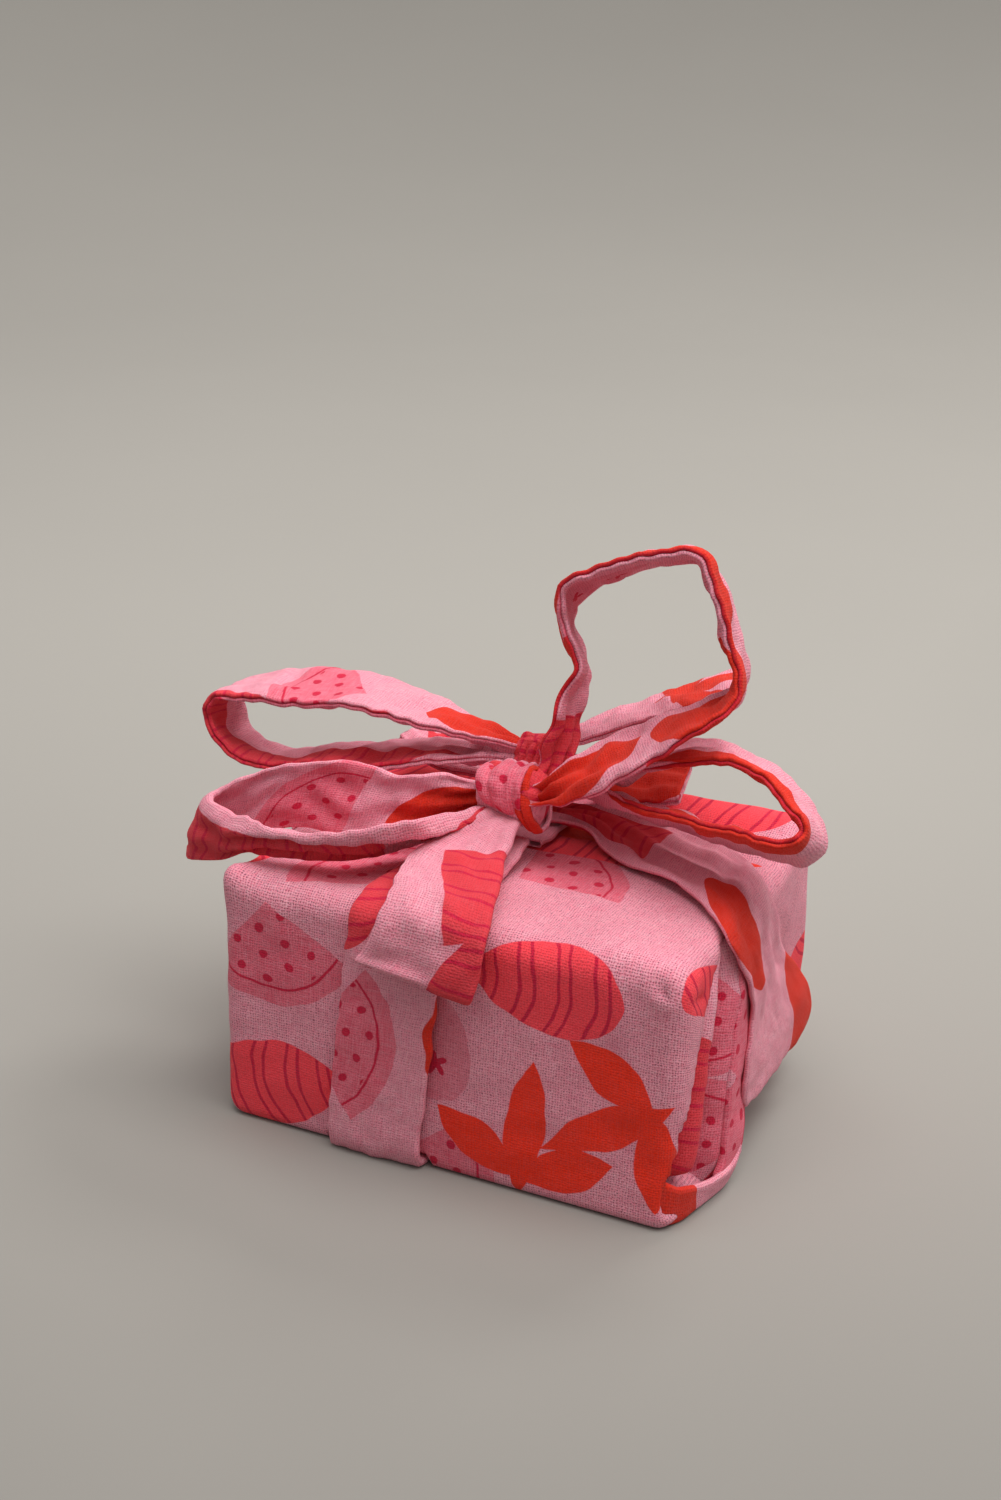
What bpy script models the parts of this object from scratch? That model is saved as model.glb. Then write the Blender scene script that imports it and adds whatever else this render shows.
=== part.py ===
"""A small parcel wrap of printed cotton, tied with two bows, empty inside.

The wrap cloth is one sheet folded round a box-shaped space: its two end corners rise over pleated ends and
meet as straps on top. A girth tie runs round the middle, and two bows sit one behind the other on top.
Tables and dimensions are in millimetres; X runs along the parcel, Y to the back, Z up from the base.
"""

import bpy
import numpy as np

MM = 0.001

LENGTH = 95.0  # the parcel, along X
DEPTH = 74.0
HEIGHT = 52.0
EDGE_RADIUS = 5.0  # of the long edges of the top
FOOT_RADIUS = 2.4  # of the long edges of the base
CORNER_RADII = (EDGE_RADIUS, EDGE_RADIUS, FOOT_RADIUS, FOOT_RADIUS)
END_RADIUS = 4.8  # of the edges round each end
CLOTH = 1.2  # the wrap cloth, with the hem turned under it
STRAP = 1.5  # a corner of the wrap, drawn up into a strap
PLEAT = 1.6
TIE = 1.8  # a tie is the cloth folded double
PIECE_GAP = 0.35
END_SLOT = 23.0  # how far each end closes towards its middle, where the corners tuck in

SIDE_POINTS = 9
CORNER_POINTS = 4
ACROSS = (0.0, 0.3, 0.7, 1.0)
EDGE_THINNING = 0.6  # a folded edge is thinner than the middle of its tie

BARREL_X = (-34.0, 8.0, 20.0, 31.0)  # rings of the wrap between its ends, apart from the channel's
END_INSETS = (10.0, 15.0, END_SLOT)  # rings on the flat of each end, by how far they lie in from its edge
SMALLEST_RADIUS = 0.9
BAND_FOOT_X = -12.6  # where the girth band crosses the base
BAND_CHANNEL = TIE + PIECE_GAP  # how far the base is drawn up over the band
CHANNEL_HALF = 10.2
CHANNEL_SLOPE = 0.8
CHANNEL_FADE = 5.0  # the height at which the draw-up has died out

TUCK_DEPTH = 8.0  # how far each end is drawn in along its foot, all but its front corner
TUCK_HEIGHT = 13.0
TUCK_Y = (-16.0, -2.0)
TUCK_X = (30.0, 47.0)
RIDGE_HEIGHT = 4.6  # the layers folded under the back of the top
RIDGE_X = (6.0, 20.0)  # each pair says where the ridge starts and where it is whole
RIDGE_Y = (16.0, 31.0)
RIDGE_Z = (30.0, 50.0)
WALL_BELLY = 0.56  # how far the front and the back bulge
WALL_Y = (33.0, 36.9)
TOP_CROWN = 0.21
TOP_Z = (HEIGHT - 4.0, HEIGHT)
TOP_SAG = 0.35  # the slow waves of the top, away from the knots
SAG_FROM_KNOTS = (14.0, 24.0)
KNOTS_X = -8.0

PINK = (0.80, 0.36, 0.45)
CORAL = (0.78, 0.13, 0.14)
ROSE = (0.72, 0.22, 0.32)
RED = (0.80, 0.08, 0.03)

# Each row of a ribbon is one station: a point on its near edge, then one on its far edge.
GIRTH_BAND = (
    # near x, y, z, far x, y, z
    (-9.5, -4.0, 56.6, 2.5, -5.0, 56.6),
    (-12.0, -9.0, 55.4, 2.6, -10.0, 55.4),
    (-15.5, -18.0, 53.6, 2.4, -18.0, 53.6),
    (-17.2, -28.0, 53.5, 1.9, -28.0, 53.5),
    (-17.7, -34.0, 53.3, 1.6, -34.0, 53.3),
    (-18.0, -37.4, 51.6, 1.4, -37.4, 51.6),
    (-18.3, -38.9, 48.0, 1.0, -38.9, 48.0),
    (-19.6, -39.1, 34.0, -0.2, -39.1, 34.0),
    (-21.2, -39.1, 18.0, -1.8, -39.1, 18.0),
    (-22.1, -39.1, 6.5, -2.8, -39.1, 6.5),
    (-22.3, -38.5, 2.4, -2.9, -38.5, 2.4),
    (-22.3, -35.6, 0.9, -2.9, -35.6, 0.9),
    (-22.3, -16.0, 0.9, -2.9, -16.0, 0.9),
    (-22.3, 0.0, 0.9, -2.9, 0.0, 0.9),
    (-22.3, 16.0, 0.9, -2.9, 16.0, 0.9),
    (-22.3, 35.6, 0.9, -2.9, 35.6, 0.9),
    (-22.2, 38.5, 2.4, -2.8, 38.5, 2.4),
    (-22.0, 39.1, 6.5, -2.6, 39.1, 6.5),
    (-20.5, 39.1, 18.0, -1.1, 39.1, 18.0),
    (-18.5, 39.1, 34.0, 0.9, 39.1, 34.0),
    (-17.0, 38.9, 48.0, 2.4, 38.9, 48.0),
    (-16.7, 37.4, 51.6, 2.7, 37.4, 51.6),
    (-16.4, 34.0, 53.4, 3.0, 34.0, 53.4),
    (-15.6, 26.0, 53.7, 3.0, 26.0, 53.7),
    (-13.0, 12.0, 53.7, 3.0, 12.0, 53.7),
    (-10.5, 1.0, 53.7, 2.5, 1.0, 53.7),
)

RIGHT_STRAP = (
    # front x, y, z, back x, y, z
    (43.0, -12.0, 18.0, 43.0, 22.0, 18.0),
    (47.0, -14.0, 12.6, 47.5, 24.0, 10.5),
    (48.6, -15.6, 12.6, 50.6, 27.0, 10.5),
    (48.7, -17.0, 19.0, 52.3, 30.5, 17.5),
    (49.0, -17.4, 29.0, 51.8, 23.0, 30.5),
    (50.8, -17.6, 42.0, 51.2, 12.0, 42.5),
    (49.9, -16.5, 50.2, 50.6, 7.8, 51.0),
    (44.5, -13.0, 54.2, 46.5, 8.5, 55.0),
    (35.0, -6.0, 54.6, 36.5, 16.5, 55.2),
    (18.0, 1.5, 54.4, 21.0, 20.0, 55.4),
    (9.0, 7.5, 56.0, 12.5, 18.5, 56.4),
    (1.0, 8.0, 57.0, 3.5, 15.5, 57.2),
    (-4.0, 6.5, 57.2, -3.0, 12.5, 57.2),
)

LEFT_STRAP = (
    # front x, y, z, back x, y, z
    (-43.0, -16.0, 18.0, -43.0, 14.0, 19.0),
    (-47.5, -18.0, 11.5, -47.5, 15.0, 13.5),
    (-50.5, -20.0, 11.5, -50.3, 16.5, 13.5),
    (-52.0, -21.0, 19.0, -51.8, 18.0, 19.0),
    (-51.8, -14.0, 31.0, -52.2, 20.0, 30.0),
    (-51.2, -6.0, 42.5, -51.4, 20.5, 42.0),
    (-50.4, -3.5, 51.0, -49.6, 19.0, 50.0),
    (-46.0, -4.0, 55.0, -44.0, 17.5, 54.2),
    (-35.0, -4.5, 55.0, -34.0, 16.5, 54.6),
    (-22.0, 0.5, 56.4, -21.0, 16.0, 55.8),
    (-12.0, 4.5, 57.2, -11.5, 14.5, 57.0),
    (-5.0, 6.0, 57.2, -4.0, 12.5, 57.2),
    (-1.0, 7.0, 57.3, -1.0, 12.0, 57.3),
)

# The pleats of an end lie over one another like shingles, each a tongue from its root to its folded edge.
RIGHT_PLEATS = (
    (
        # root x, y, z, fold x, y, z
        (44.4, -36.4, 8.0, 46.2, -34.5, 10.0),
        (45.4, -36.2, 17.0, 48.4, -32.6, 18.0),
        (45.8, -35.8, 28.0, 49.2, -30.6, 28.0),
        (45.6, -35.4, 38.0, 49.0, -29.0, 38.0),
        (44.6, -34.4, 45.5, 48.0, -28.4, 46.0),
        (42.5, -33.0, 49.0, 45.5, -28.0, 49.8),
    ),
    (
        (44.6, -33.0, 5.0, 47.4, -27.0, 4.5),
        (45.0, -32.0, 10.0, 49.0, -26.2, 9.0),
        (45.2, -30.6, 20.0, 50.2, -26.0, 20.0),
        (45.2, -29.4, 32.0, 50.4, -25.8, 32.0),
        (45.0, -28.4, 42.0, 49.8, -24.4, 42.0),
        (43.5, -27.6, 48.6, 47.8, -23.4, 49.0),
    ),
    (
        (44.2, -29.0, 1.6, 46.6, -19.5, 1.2),
        (45.2, -27.0, 5.0, 50.4, -17.0, 4.6),
        (45.4, -25.6, 14.0, 52.0, -15.4, 14.0),
        (45.4, -25.0, 26.0, 51.8, -14.8, 26.0),
        (45.4, -24.0, 36.0, 49.6, -18.0, 36.0),
        (44.4, -22.6, 46.0, 48.2, -18.0, 46.0),
    ),
)

FRONT_LEFT_LOOP = (
    # rim x, y, z, foot x, y, z
    (-3.0, -3.6, 66.4, -3.0, -3.0, 62.4),
    (-9.0, -5.4, 66.8, -10.0, -4.8, 61.4),
    (-15.0, -10.0, 69.4, -17.0, -11.5, 58.5),
    (-22.0, -12.0, 68.2, -26.0, -14.5, 56.0),
    (-31.0, -13.5, 69.8, -35.0, -16.0, 55.2),
    (-42.0, -15.5, 68.2, -45.0, -17.0, 54.6),
    (-52.0, -17.5, 64.8, -57.0, -17.0, 49.5),
    (-58.5, -20.5, 61.6, -65.0, -18.0, 47.0),
    (-58.0, -25.0, 60.5, -63.0, -22.5, 46.2),
    (-51.0, -29.0, 59.8, -54.0, -26.0, 49.0),
    (-43.0, -32.0, 60.2, -45.0, -28.0, 53.8),
    (-31.0, -33.0, 61.4, -34.0, -27.0, 54.6),
    (-20.5, -31.5, 62.5, -25.0, -22.0, 55.0),
    (-11.0, -27.0, 64.4, -17.0, -15.5, 56.4),
    (-7.0, -18.0, 65.0, -10.0, -10.0, 58.6),
    (-3.0, -7.4, 65.0, -4.0, -5.6, 62.4),
)

TALL_LOOP = (
    # near x, y, z, far x, y, z
    (-1.5, -2.6, 65.2, -0.5, -1.2, 64.8),
    (1.8, -1.8, 67.4, 4.6, 0.6, 66.8),
    (3.0, -1.6, 72.6, 6.6, 3.8, 72.0),
    (5.0, -1.0, 81.0, 5.0, 12.5, 78.5),
    (6.0, 0.0, 86.0, 4.0, 16.5, 81.5),
    (9.0, 0.0, 91.0, 3.8, 18.0, 84.5),
    (8.2, 0.0, 95.0, 2.2, 17.5, 88.0),
    (5.5, 0.0, 101.0, 0.0, 17.5, 94.0),
    (5.0, 0.0, 106.0, 0.0, 17.5, 98.0),
    (7.5, 0.0, 109.0, 3.0, 17.5, 100.5),
    (14.0, 0.0, 112.0, 8.0, 18.0, 104.5),
    (21.0, 0.0, 115.0, 15.0, 18.0, 108.0),
    (28.5, 0.0, 117.0, 22.5, 18.0, 111.0),
    (32.0, 0.0, 116.0, 26.5, 18.5, 110.5),
    (34.5, 0.0, 112.0, 29.5, 19.0, 107.0),
    (37.0, 0.0, 106.0, 32.5, 19.0, 101.0),
    (38.8, 0.0, 99.5, 34.5, 18.5, 94.5),
    (40.8, -0.5, 95.0, 35.8, 18.0, 89.5),
    (41.4, -1.5, 91.8, 35.0, 16.0, 86.5),
    (39.4, -4.0, 89.0, 32.0, 13.0, 84.8),
    (34.5, -7.0, 85.0, 26.5, 10.5, 83.0),
    (29.0, -8.0, 80.2, 20.5, 8.5, 79.6),
    (23.5, -9.0, 75.8, 15.0, 6.5, 77.0),
    (17.5, -9.2, 71.6, 12.5, 0.5, 75.6),
    (10.5, -9.0, 67.6, 9.4, -4.0, 73.4),
    (4.5, -7.4, 65.2, 4.5, -5.2, 69.0),
    (-1.5, -6.4, 64.4, -1.5, -5.0, 66.4),
)

FRONT_TAIL = (
    # left x, y, z, right x, y, z
    (-5.5, -6.0, 63.5, 0.5, -6.0, 63.5),
    (-7.0, -10.5, 61.0, 1.8, -11.5, 60.4),
    (-9.8, -17.0, 59.4, 3.6, -17.0, 58.8),
    (-12.6, -24.0, 58.4, 5.6, -24.0, 57.6),
    (-11.6, -32.0, 57.4, 8.4, -32.0, 57.0),
    (-10.2, -38.5, 56.0, 10.2, -38.5, 55.4),
    (-10.6, -42.2, 52.4, 11.0, -42.2, 52.0),
    (-12.6, -43.2, 47.0, 10.2, -43.2, 46.0),
    (-14.4, -43.4, 43.2, 8.8, -43.4, 40.6),
)

REAR_LEFT_LOOP = (
    # near x, y, z, far x, y, z
    (-3.0, 8.0, 69.5, -4.0, 12.0, 69.0),
    (-8.0, 6.0, 70.6, -9.0, 12.5, 69.8),
    (-13.0, 3.6, 71.6, -14.0, 15.0, 70.4),
    (-22.0, 1.0, 73.6, -23.5, 18.0, 72.0),
    (-32.5, -1.0, 75.5, -34.0, 19.0, 74.0),
    (-43.0, -2.0, 76.0, -45.5, 18.0, 76.0),
    (-54.0, -3.0, 74.5, -57.0, 17.0, 75.0),
    (-64.0, -3.0, 74.0, -66.5, 17.0, 73.0),
    (-70.0, -3.0, 73.0, -73.0, 16.5, 70.0),
    (-71.6, -3.0, 69.5, -75.0, 16.0, 66.0),
    (-70.0, -3.0, 65.0, -74.0, 16.0, 60.0),
    (-66.0, -3.0, 61.2, -69.5, 16.0, 57.0),
    (-59.0, -3.0, 60.0, -61.0, 16.5, 56.6),
    (-48.0, -2.0, 62.0, -49.0, 18.0, 59.5),
    (-35.0, 0.0, 63.5, -35.0, 20.0, 62.5),
    (-23.0, 2.0, 66.0, -23.0, 19.0, 64.4),
    (-13.0, 4.5, 67.4, -13.0, 15.0, 66.0),
    (-7.5, 6.5, 67.2, -7.5, 12.0, 66.2),
    (-3.0, 8.0, 66.5, -3.0, 11.5, 66.0),
)

LOW_LOOP = (
    # near x, y, z, far x, y, z
    (-1.0, 8.0, 66.5, -1.0, 12.0, 64.0),
    (6.0, 5.5, 66.3, 6.0, 11.5, 62.8),
    (13.0, 2.6, 66.3, 12.0, 11.5, 61.4),
    (22.0, -2.0, 67.0, 20.0, 11.5, 60.4),
    (34.0, -7.0, 68.5, 31.0, 10.0, 59.0),
    (45.0, -12.0, 70.0, 42.0, 5.0, 60.0),
    (53.5, -14.0, 70.4, 51.5, 2.0, 60.5),
    (58.0, -14.0, 71.6, 57.0, 3.0, 61.8),
    (59.0, -13.0, 73.6, 58.5, 4.0, 64.0),
    (57.6, -11.5, 75.4, 57.0, 6.0, 66.5),
    (54.6, -9.5, 76.0, 54.0, 9.0, 68.5),
    (52.0, -8.0, 77.4, 51.0, 11.0, 70.0),
    (49.0, -6.0, 79.0, 47.0, 12.5, 72.0),
    (44.5, -4.0, 79.6, 42.0, 15.0, 73.5),
    (38.0, -2.0, 79.0, 34.0, 17.0, 75.0),
    (30.5, 0.0, 76.5, 26.5, 19.0, 74.0),
    (24.0, 1.0, 73.5, 21.5, 17.5, 71.4),
    (18.0, 2.5, 70.6, 16.5, 14.5, 68.6),
    (10.0, 5.5, 69.0, 10.0, 12.5, 67.0),
    (-1.0, 8.0, 69.0, -1.0, 12.0, 67.0),
)

REAR_RIGHT_TAIL = (
    # near x, y, z, far x, y, z
    (-3.0, 10.0, 69.5, -3.0, 12.5, 69.0),
    (2.0, 11.5, 71.4, 0.5, 17.0, 70.6),
    (8.5, 14.5, 73.6, 4.0, 27.0, 72.2),
    (17.5, 17.0, 77.0, 11.5, 33.5, 75.4),
    (26.5, 19.5, 80.8, 20.5, 37.0, 79.4),
    (33.0, 22.0, 83.6, 28.0, 39.5, 83.0),
)

LOW_RIGHT_TAIL = (
    # near x, y, z, far x, y, z
    (-2.0, 11.0, 64.5, -3.0, 13.0, 65.0),
    (4.0, 14.0, 61.8, 2.0, 19.0, 62.2),
    (11.0, 17.0, 60.0, 6.5, 27.0, 60.8),
    (17.5, 18.5, 59.4, 12.5, 32.5, 60.8),
    (23.8, 20.0, 60.6, 21.5, 33.0, 63.2),
)

LOW_LEFT_TAIL = (
    # near x, y, z, far x, y, z
    (-5.0, 10.5, 65.0, -4.0, 13.0, 64.5),
    (-12.0, 16.5, 61.8, -9.0, 21.0, 61.2),
    (-21.0, 20.0, 59.0, -18.0, 30.0, 58.4),
    (-31.0, 21.5, 58.0, -29.0, 34.5, 57.6),
    (-41.0, 24.0, 61.0, -40.0, 36.5, 60.0),
)

FRONT_KNOT = {"centre": (-2.6, -4.6, 65.2), "radii": (6.4, 4.4, 5.6), "band": 11.0}
REAR_KNOT = {"centre": (-3.6, 9.8, 66.6), "radii": (5.6, 4.4, 6.2), "band": 8.0}
KNOT_BAND = 1.7  # how thick the pass round a knot is
KNOT_OVERLAP = 0.5  # how deep the pass sits in the knot
KNOT_FLARE = 0.5  # how far the pass's edges stand off
KNOT_WAIST = 0.22  # the share of its width that the pass loses where it turns under


def smoothstep(value, start, end):
    """0 before start, 1 after end, with a soft rise between them."""
    t = np.clip((value - start) / (end - start), 0.0, 1.0)
    return t * t * (3.0 - 2.0 * t)


def catmull_rom(rows, per_row):
    """Points on the smooth curve through the rows, per_row of them for each span, ends included."""
    rows = np.asarray(rows, float)
    padded = np.vstack([2 * rows[0] - rows[1], rows, 2 * rows[-1] - rows[-2]])
    spans = len(rows) - 1
    t = np.linspace(0.0, spans, spans * per_row + 1)
    span = np.minimum(t.astype(int), spans - 1)
    f = (t - span)[:, None]
    before, start, end, after = (padded[span + k] for k in range(4))
    return 0.5 * (
        2 * start
        + (end - before) * f
        + (2 * before - 5 * start + 4 * end - after) * f**2
        + (3 * start - before - 3 * end + after) * f**3
    )


def material(name, colour):
    made = bpy.data.materials.new(name)
    made.use_nodes = True
    shader = made.node_tree.nodes["Principled BSDF"]
    shader.inputs["Base Color"].default_value = (*colour, 1.0)
    shader.inputs["Roughness"].default_value = 0.92
    shader.inputs["Metallic"].default_value = 0.0
    return made


def mesh_object(name, points, faces, collection):
    """An object made from points in millimetres."""
    mesh = bpy.data.meshes.new(name)
    mesh.from_pydata((np.asarray(points) * MM).tolist(), [], faces)
    mesh.shade_smooth()
    made = bpy.data.objects.new(name, mesh)
    collection.objects.link(made)
    return made


def ring_faces(rings, around, closed=False, capped=True):
    """Quads between successive rings of points, with a cap on each end of an open run."""
    faces = []
    for i in range(rings if closed else rings - 1):
        this, after = i * around, (i + 1) % rings * around
        for j in range(around):
            k = (j + 1) % around
            faces.append((this + j, this + k, after + k, after + j))
    if capped and not closed:
        faces.append(tuple(range(around - 1, -1, -1)))
        faces.append(tuple(range((rings - 1) * around, rings * around)))
    return faces


def ribbon(name, rows, collection, thickness=TIE, per_row=2):
    """A flat tie lofted through its rows, with a thin section set square to the path at each station."""
    edges = catmull_rom(rows, per_row)
    near, far = edges[:, :3], edges[:, 3:]
    middle = (near + far) / 2
    along = np.gradient(middle, axis=0)
    normal = np.cross(along, far - near)
    normal /= np.linalg.norm(normal, axis=1, keepdims=True)
    rings = []
    for side in (1.0, -1.0):
        for share in ACROSS[:: int(side)]:
            half = thickness / 2 * (EDGE_THINNING if share in (0.0, 1.0) else 1.0)
            rings.append(near + (far - near) * share + side * half * normal)
    points = np.stack(rings, axis=1)
    points[:, :, 2] = np.maximum(points[:, :, 2], 0.0)
    faces = ring_faces(len(points), points.shape[1])
    made = mesh_object(name, points.reshape(-1, 3), faces, collection)
    face_outwards(made)
    return made


def face_outwards(made):
    """Turns every face of a closed mesh outwards, by the sign of its volume."""
    mesh = made.data
    mesh.calc_loop_triangles()
    points = np.array([v.co for v in mesh.vertices])
    corners = points[np.array([t.vertices for t in mesh.loop_triangles])]
    if np.linalg.det(corners).sum() < 0:
        mesh.flip_normals()


def rounded_rectangle(width, height, radii):
    """Points round a rounded rectangle, equally many on each side and corner whatever its size.

    The corners' radii go round from the top right one.
    """
    turn = np.linspace(0.0, np.pi / 2, CORNER_POINTS + 1)
    run = np.linspace(0.0, 1.0, SIDE_POINTS + 1)[1:-1]
    corners = []
    for quarter, (radius, sign) in enumerate(zip(radii, ((1, 1), (-1, 1), (-1, -1), (1, -1)))):
        angle = turn + quarter * np.pi / 2
        arc = np.stack([np.cos(angle), np.sin(angle)], axis=1) * radius
        reach = np.array([width / 2 - radius, height / 2 - radius])
        corners.append(arc + reach * np.array(sign))
    outline = []
    for quarter, corner in enumerate(corners):
        start, end = corner[-1], corners[(quarter + 1) % 4][0]
        outline.append(corner)
        outline.append(start + (end - start) * run[:, None])
    return np.concatenate(outline)


def parcel_stations():
    """(x, inset) of each ring of the wrap: out from one end's slot, round its edge, on to the other slot."""
    half = LENGTH / 2
    turn = np.linspace(0.0, np.pi / 2, 5)
    edge = np.stack(
        [half - END_RADIUS * (1 - np.sin(turn)), END_RADIUS * (1 - np.cos(turn))], axis=1
    )
    end_face = np.array([(half, inset) for inset in END_INSETS])
    right = np.concatenate([edge, end_face])
    left = right[::-1] * (-1.0, 1.0)
    rim = CHANNEL_HALF + CHANNEL_SLOPE
    channel = BAND_FOOT_X + np.array((-rim, -CHANNEL_HALF, 0.0, CHANNEL_HALF, rim))
    across = np.sort(np.concatenate([BARREL_X, channel]))
    barrel = np.stack([across, np.zeros_like(across)], axis=1)
    return np.concatenate([left, barrel, right])


def shape_wrap(points):
    """Moves the plain rounded box to the form of the folded cloth; returns the new points."""
    x, y, z = (points[:, k].copy() for k in range(3))
    belly = np.cos(np.pi * x / LENGTH / 1.1)
    y += np.sign(y) * smoothstep(np.abs(y), *WALL_Y) * WALL_BELLY * belly * np.sin(np.pi * z / HEIGHT)
    crown = TOP_CROWN * belly * np.cos(np.pi * y / DEPTH / 1.15)
    waves = TOP_SAG * np.sin(x / 9.0 + 0.6) * np.cos(y / 13.0)
    free = smoothstep(np.abs(x - KNOTS_X), *SAG_FROM_KNOTS)
    z += smoothstep(z, *TOP_Z) * (crown + waves * free)
    z += RIDGE_HEIGHT * smoothstep(y, *RIDGE_Y) * smoothstep(x, *RIDGE_X) * smoothstep(z, *RIDGE_Z)
    foot = 1.0 - smoothstep(z, 0.0, TUCK_HEIGHT)
    end = smoothstep(np.abs(x), *TUCK_X)
    x -= np.sign(x) * TUCK_DEPTH * foot * smoothstep(y, *TUCK_Y) * end
    return np.stack([x, y, z], axis=1)


def lift_channel(points):
    """Draws the base up over the girth band, so that cloth and band stand on one plane."""
    on_base = 1.0 - smoothstep(points[:, 2], 0.0, CHANNEL_FADE)
    away = np.abs(points[:, 0] - BAND_FOOT_X)
    inside = 1.0 - smoothstep(away, CHANNEL_HALF, CHANNEL_HALF + CHANNEL_SLOPE)
    points[:, 2] += BAND_CHANNEL * on_base * inside
    return points


def parcel_sheet(collection):
    """The cloth round the parcel: one sheet that closes each end down to a slot, thickened inwards."""
    rings = []
    for x, inset in parcel_stations():
        radii = [max(radius - 0.3 * inset, SMALLEST_RADIUS) for radius in CORNER_RADII]
        outline = rounded_rectangle(DEPTH - 2 * inset, HEIGHT - 2 * inset, radii)
        y, z = outline.T
        rings.append(np.stack([np.full_like(y, x), y, z + HEIGHT / 2], axis=1))
    faces = ring_faces(len(rings), len(rings[0]), capped=False)
    points = lift_channel(shape_wrap(np.concatenate(rings)))
    made = mesh_object("wrap_cloth", points, faces, collection)
    wall = made.modifiers.new("cloth", "SOLIDIFY")
    wall.thickness = CLOTH * MM
    wall.offset = -1.0
    return made


def knot(name, shape, collection, rings=9, around=16):
    """The gathered middle of a bow: a lump of cloth, round about the X axis and full almost to its ends."""
    centre, radii = np.array(shape["centre"]), np.array(shape["radii"])
    share = np.linspace(-0.98, 0.98, rings)[:, None]
    fullness = np.sqrt(1.0 - share**8)
    angle = np.linspace(0.0, 2 * np.pi, around, endpoint=False)
    unit = np.stack([share + 0.0 * angle, fullness * np.cos(angle), fullness * np.sin(angle)], axis=2)
    points = (centre + radii * unit).reshape(-1, 3)
    made = mesh_object(name, points, ring_faces(rings, around), collection)
    face_outwards(made)
    return made


def knot_pass(name, shape, collection, turns=24):
    """The tie's pass round a knot: a closed band about the X axis, narrower where it turns under."""
    centre, radii = np.array(shape["centre"]), np.array(shape["radii"])
    angle = np.linspace(0.0, 2 * np.pi, turns, endpoint=False)[:, None]
    share = np.array([-1.0, -0.4, 0.4, 1.0])
    waist = 1.0 - KNOT_WAIST * smoothstep(-np.sin(angle), 0.2, 1.0)
    x = centre[0] + shape["band"] / 2 * share * waist
    flare = KNOT_FLARE * np.abs(share) ** 3
    sections = []
    for rise, order in ((KNOT_BAND - KNOT_OVERLAP, 1), (-KNOT_OVERLAP, -1)):
        y = centre[1] + (radii[1] + rise + flare) * np.cos(angle)
        z = centre[2] + (radii[2] + rise + flare) * np.sin(angle)
        sections.append(np.stack([x, y, z], axis=2)[:, ::order])
    points = np.concatenate(sections, axis=1)
    faces = ring_faces(turns, points.shape[1], closed=True)
    made = mesh_object(name, points.reshape(-1, 3), faces, collection)
    face_outwards(made)
    return made


def join(body, pieces):
    """Unites the pieces with the body by Boolean modifiers, and hides them as helpers."""
    for piece in pieces:
        union = body.modifiers.new("joins " + piece.name, "BOOLEAN")
        union.operation = "UNION"
        union.object = piece
        piece.hide_render = True
        piece.display_type = "WIRE"
        piece.hide_set(True)


def build():
    for old in list(bpy.data.objects):
        bpy.data.objects.remove(old)
    cloth = bpy.data.collections.new("furoshiki_wrap")
    helpers = bpy.data.collections.new("helpers")
    for made in (cloth, helpers):
        bpy.context.scene.collection.children.link(made)

    wrap = parcel_sheet(cloth)
    layers = [
        ribbon("right_strap", RIGHT_STRAP, helpers, thickness=STRAP),
        ribbon("left_strap", LEFT_STRAP, helpers, thickness=STRAP),
    ]
    for k, rows in enumerate(RIGHT_PLEATS):
        layers.append(ribbon(f"right_pleat_{k}", rows, helpers, thickness=PLEAT))
    join(wrap, layers)

    band = ribbon("girth_band", GIRTH_BAND, cloth)

    front = knot("front_bow", FRONT_KNOT, cloth)
    front_ties = {
        "front_left_loop": FRONT_LEFT_LOOP,
        "tall_loop": TALL_LOOP,
        "front_tail": FRONT_TAIL,
    }
    rear = knot("rear_bow", REAR_KNOT, cloth)
    rear_ties = {
        "rear_left_loop": REAR_LEFT_LOOP,
        "low_loop": LOW_LOOP,
        "rear_right_tail": REAR_RIGHT_TAIL,
        "low_right_tail": LOW_RIGHT_TAIL,
        "low_left_tail": LOW_LEFT_TAIL,
    }
    for body, shape, ties in ((front, FRONT_KNOT, front_ties), (rear, REAR_KNOT, rear_ties)):
        pieces = [knot_pass(body.name + "_pass", shape, helpers)]
        pieces += [ribbon(name, rows, helpers) for name, rows in ties.items()]
        join(body, pieces)

    colours = {wrap: PINK, band: ROSE, front: CORAL, rear: RED}
    for piece, colour in colours.items():
        piece.data.materials.append(material(piece.name, colour))


build()
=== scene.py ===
"""A furoshiki wrap of printed cotton: a small parcel with a girth tie and soft bows, dressed over its solids.

Tables and sizes are in millimetres unless they say otherwise; X runs along the parcel, Y to the back, Z up.
"""

import math

import bmesh
import bpy
import numpy as np
from mathutils import Matrix, Vector


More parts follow.
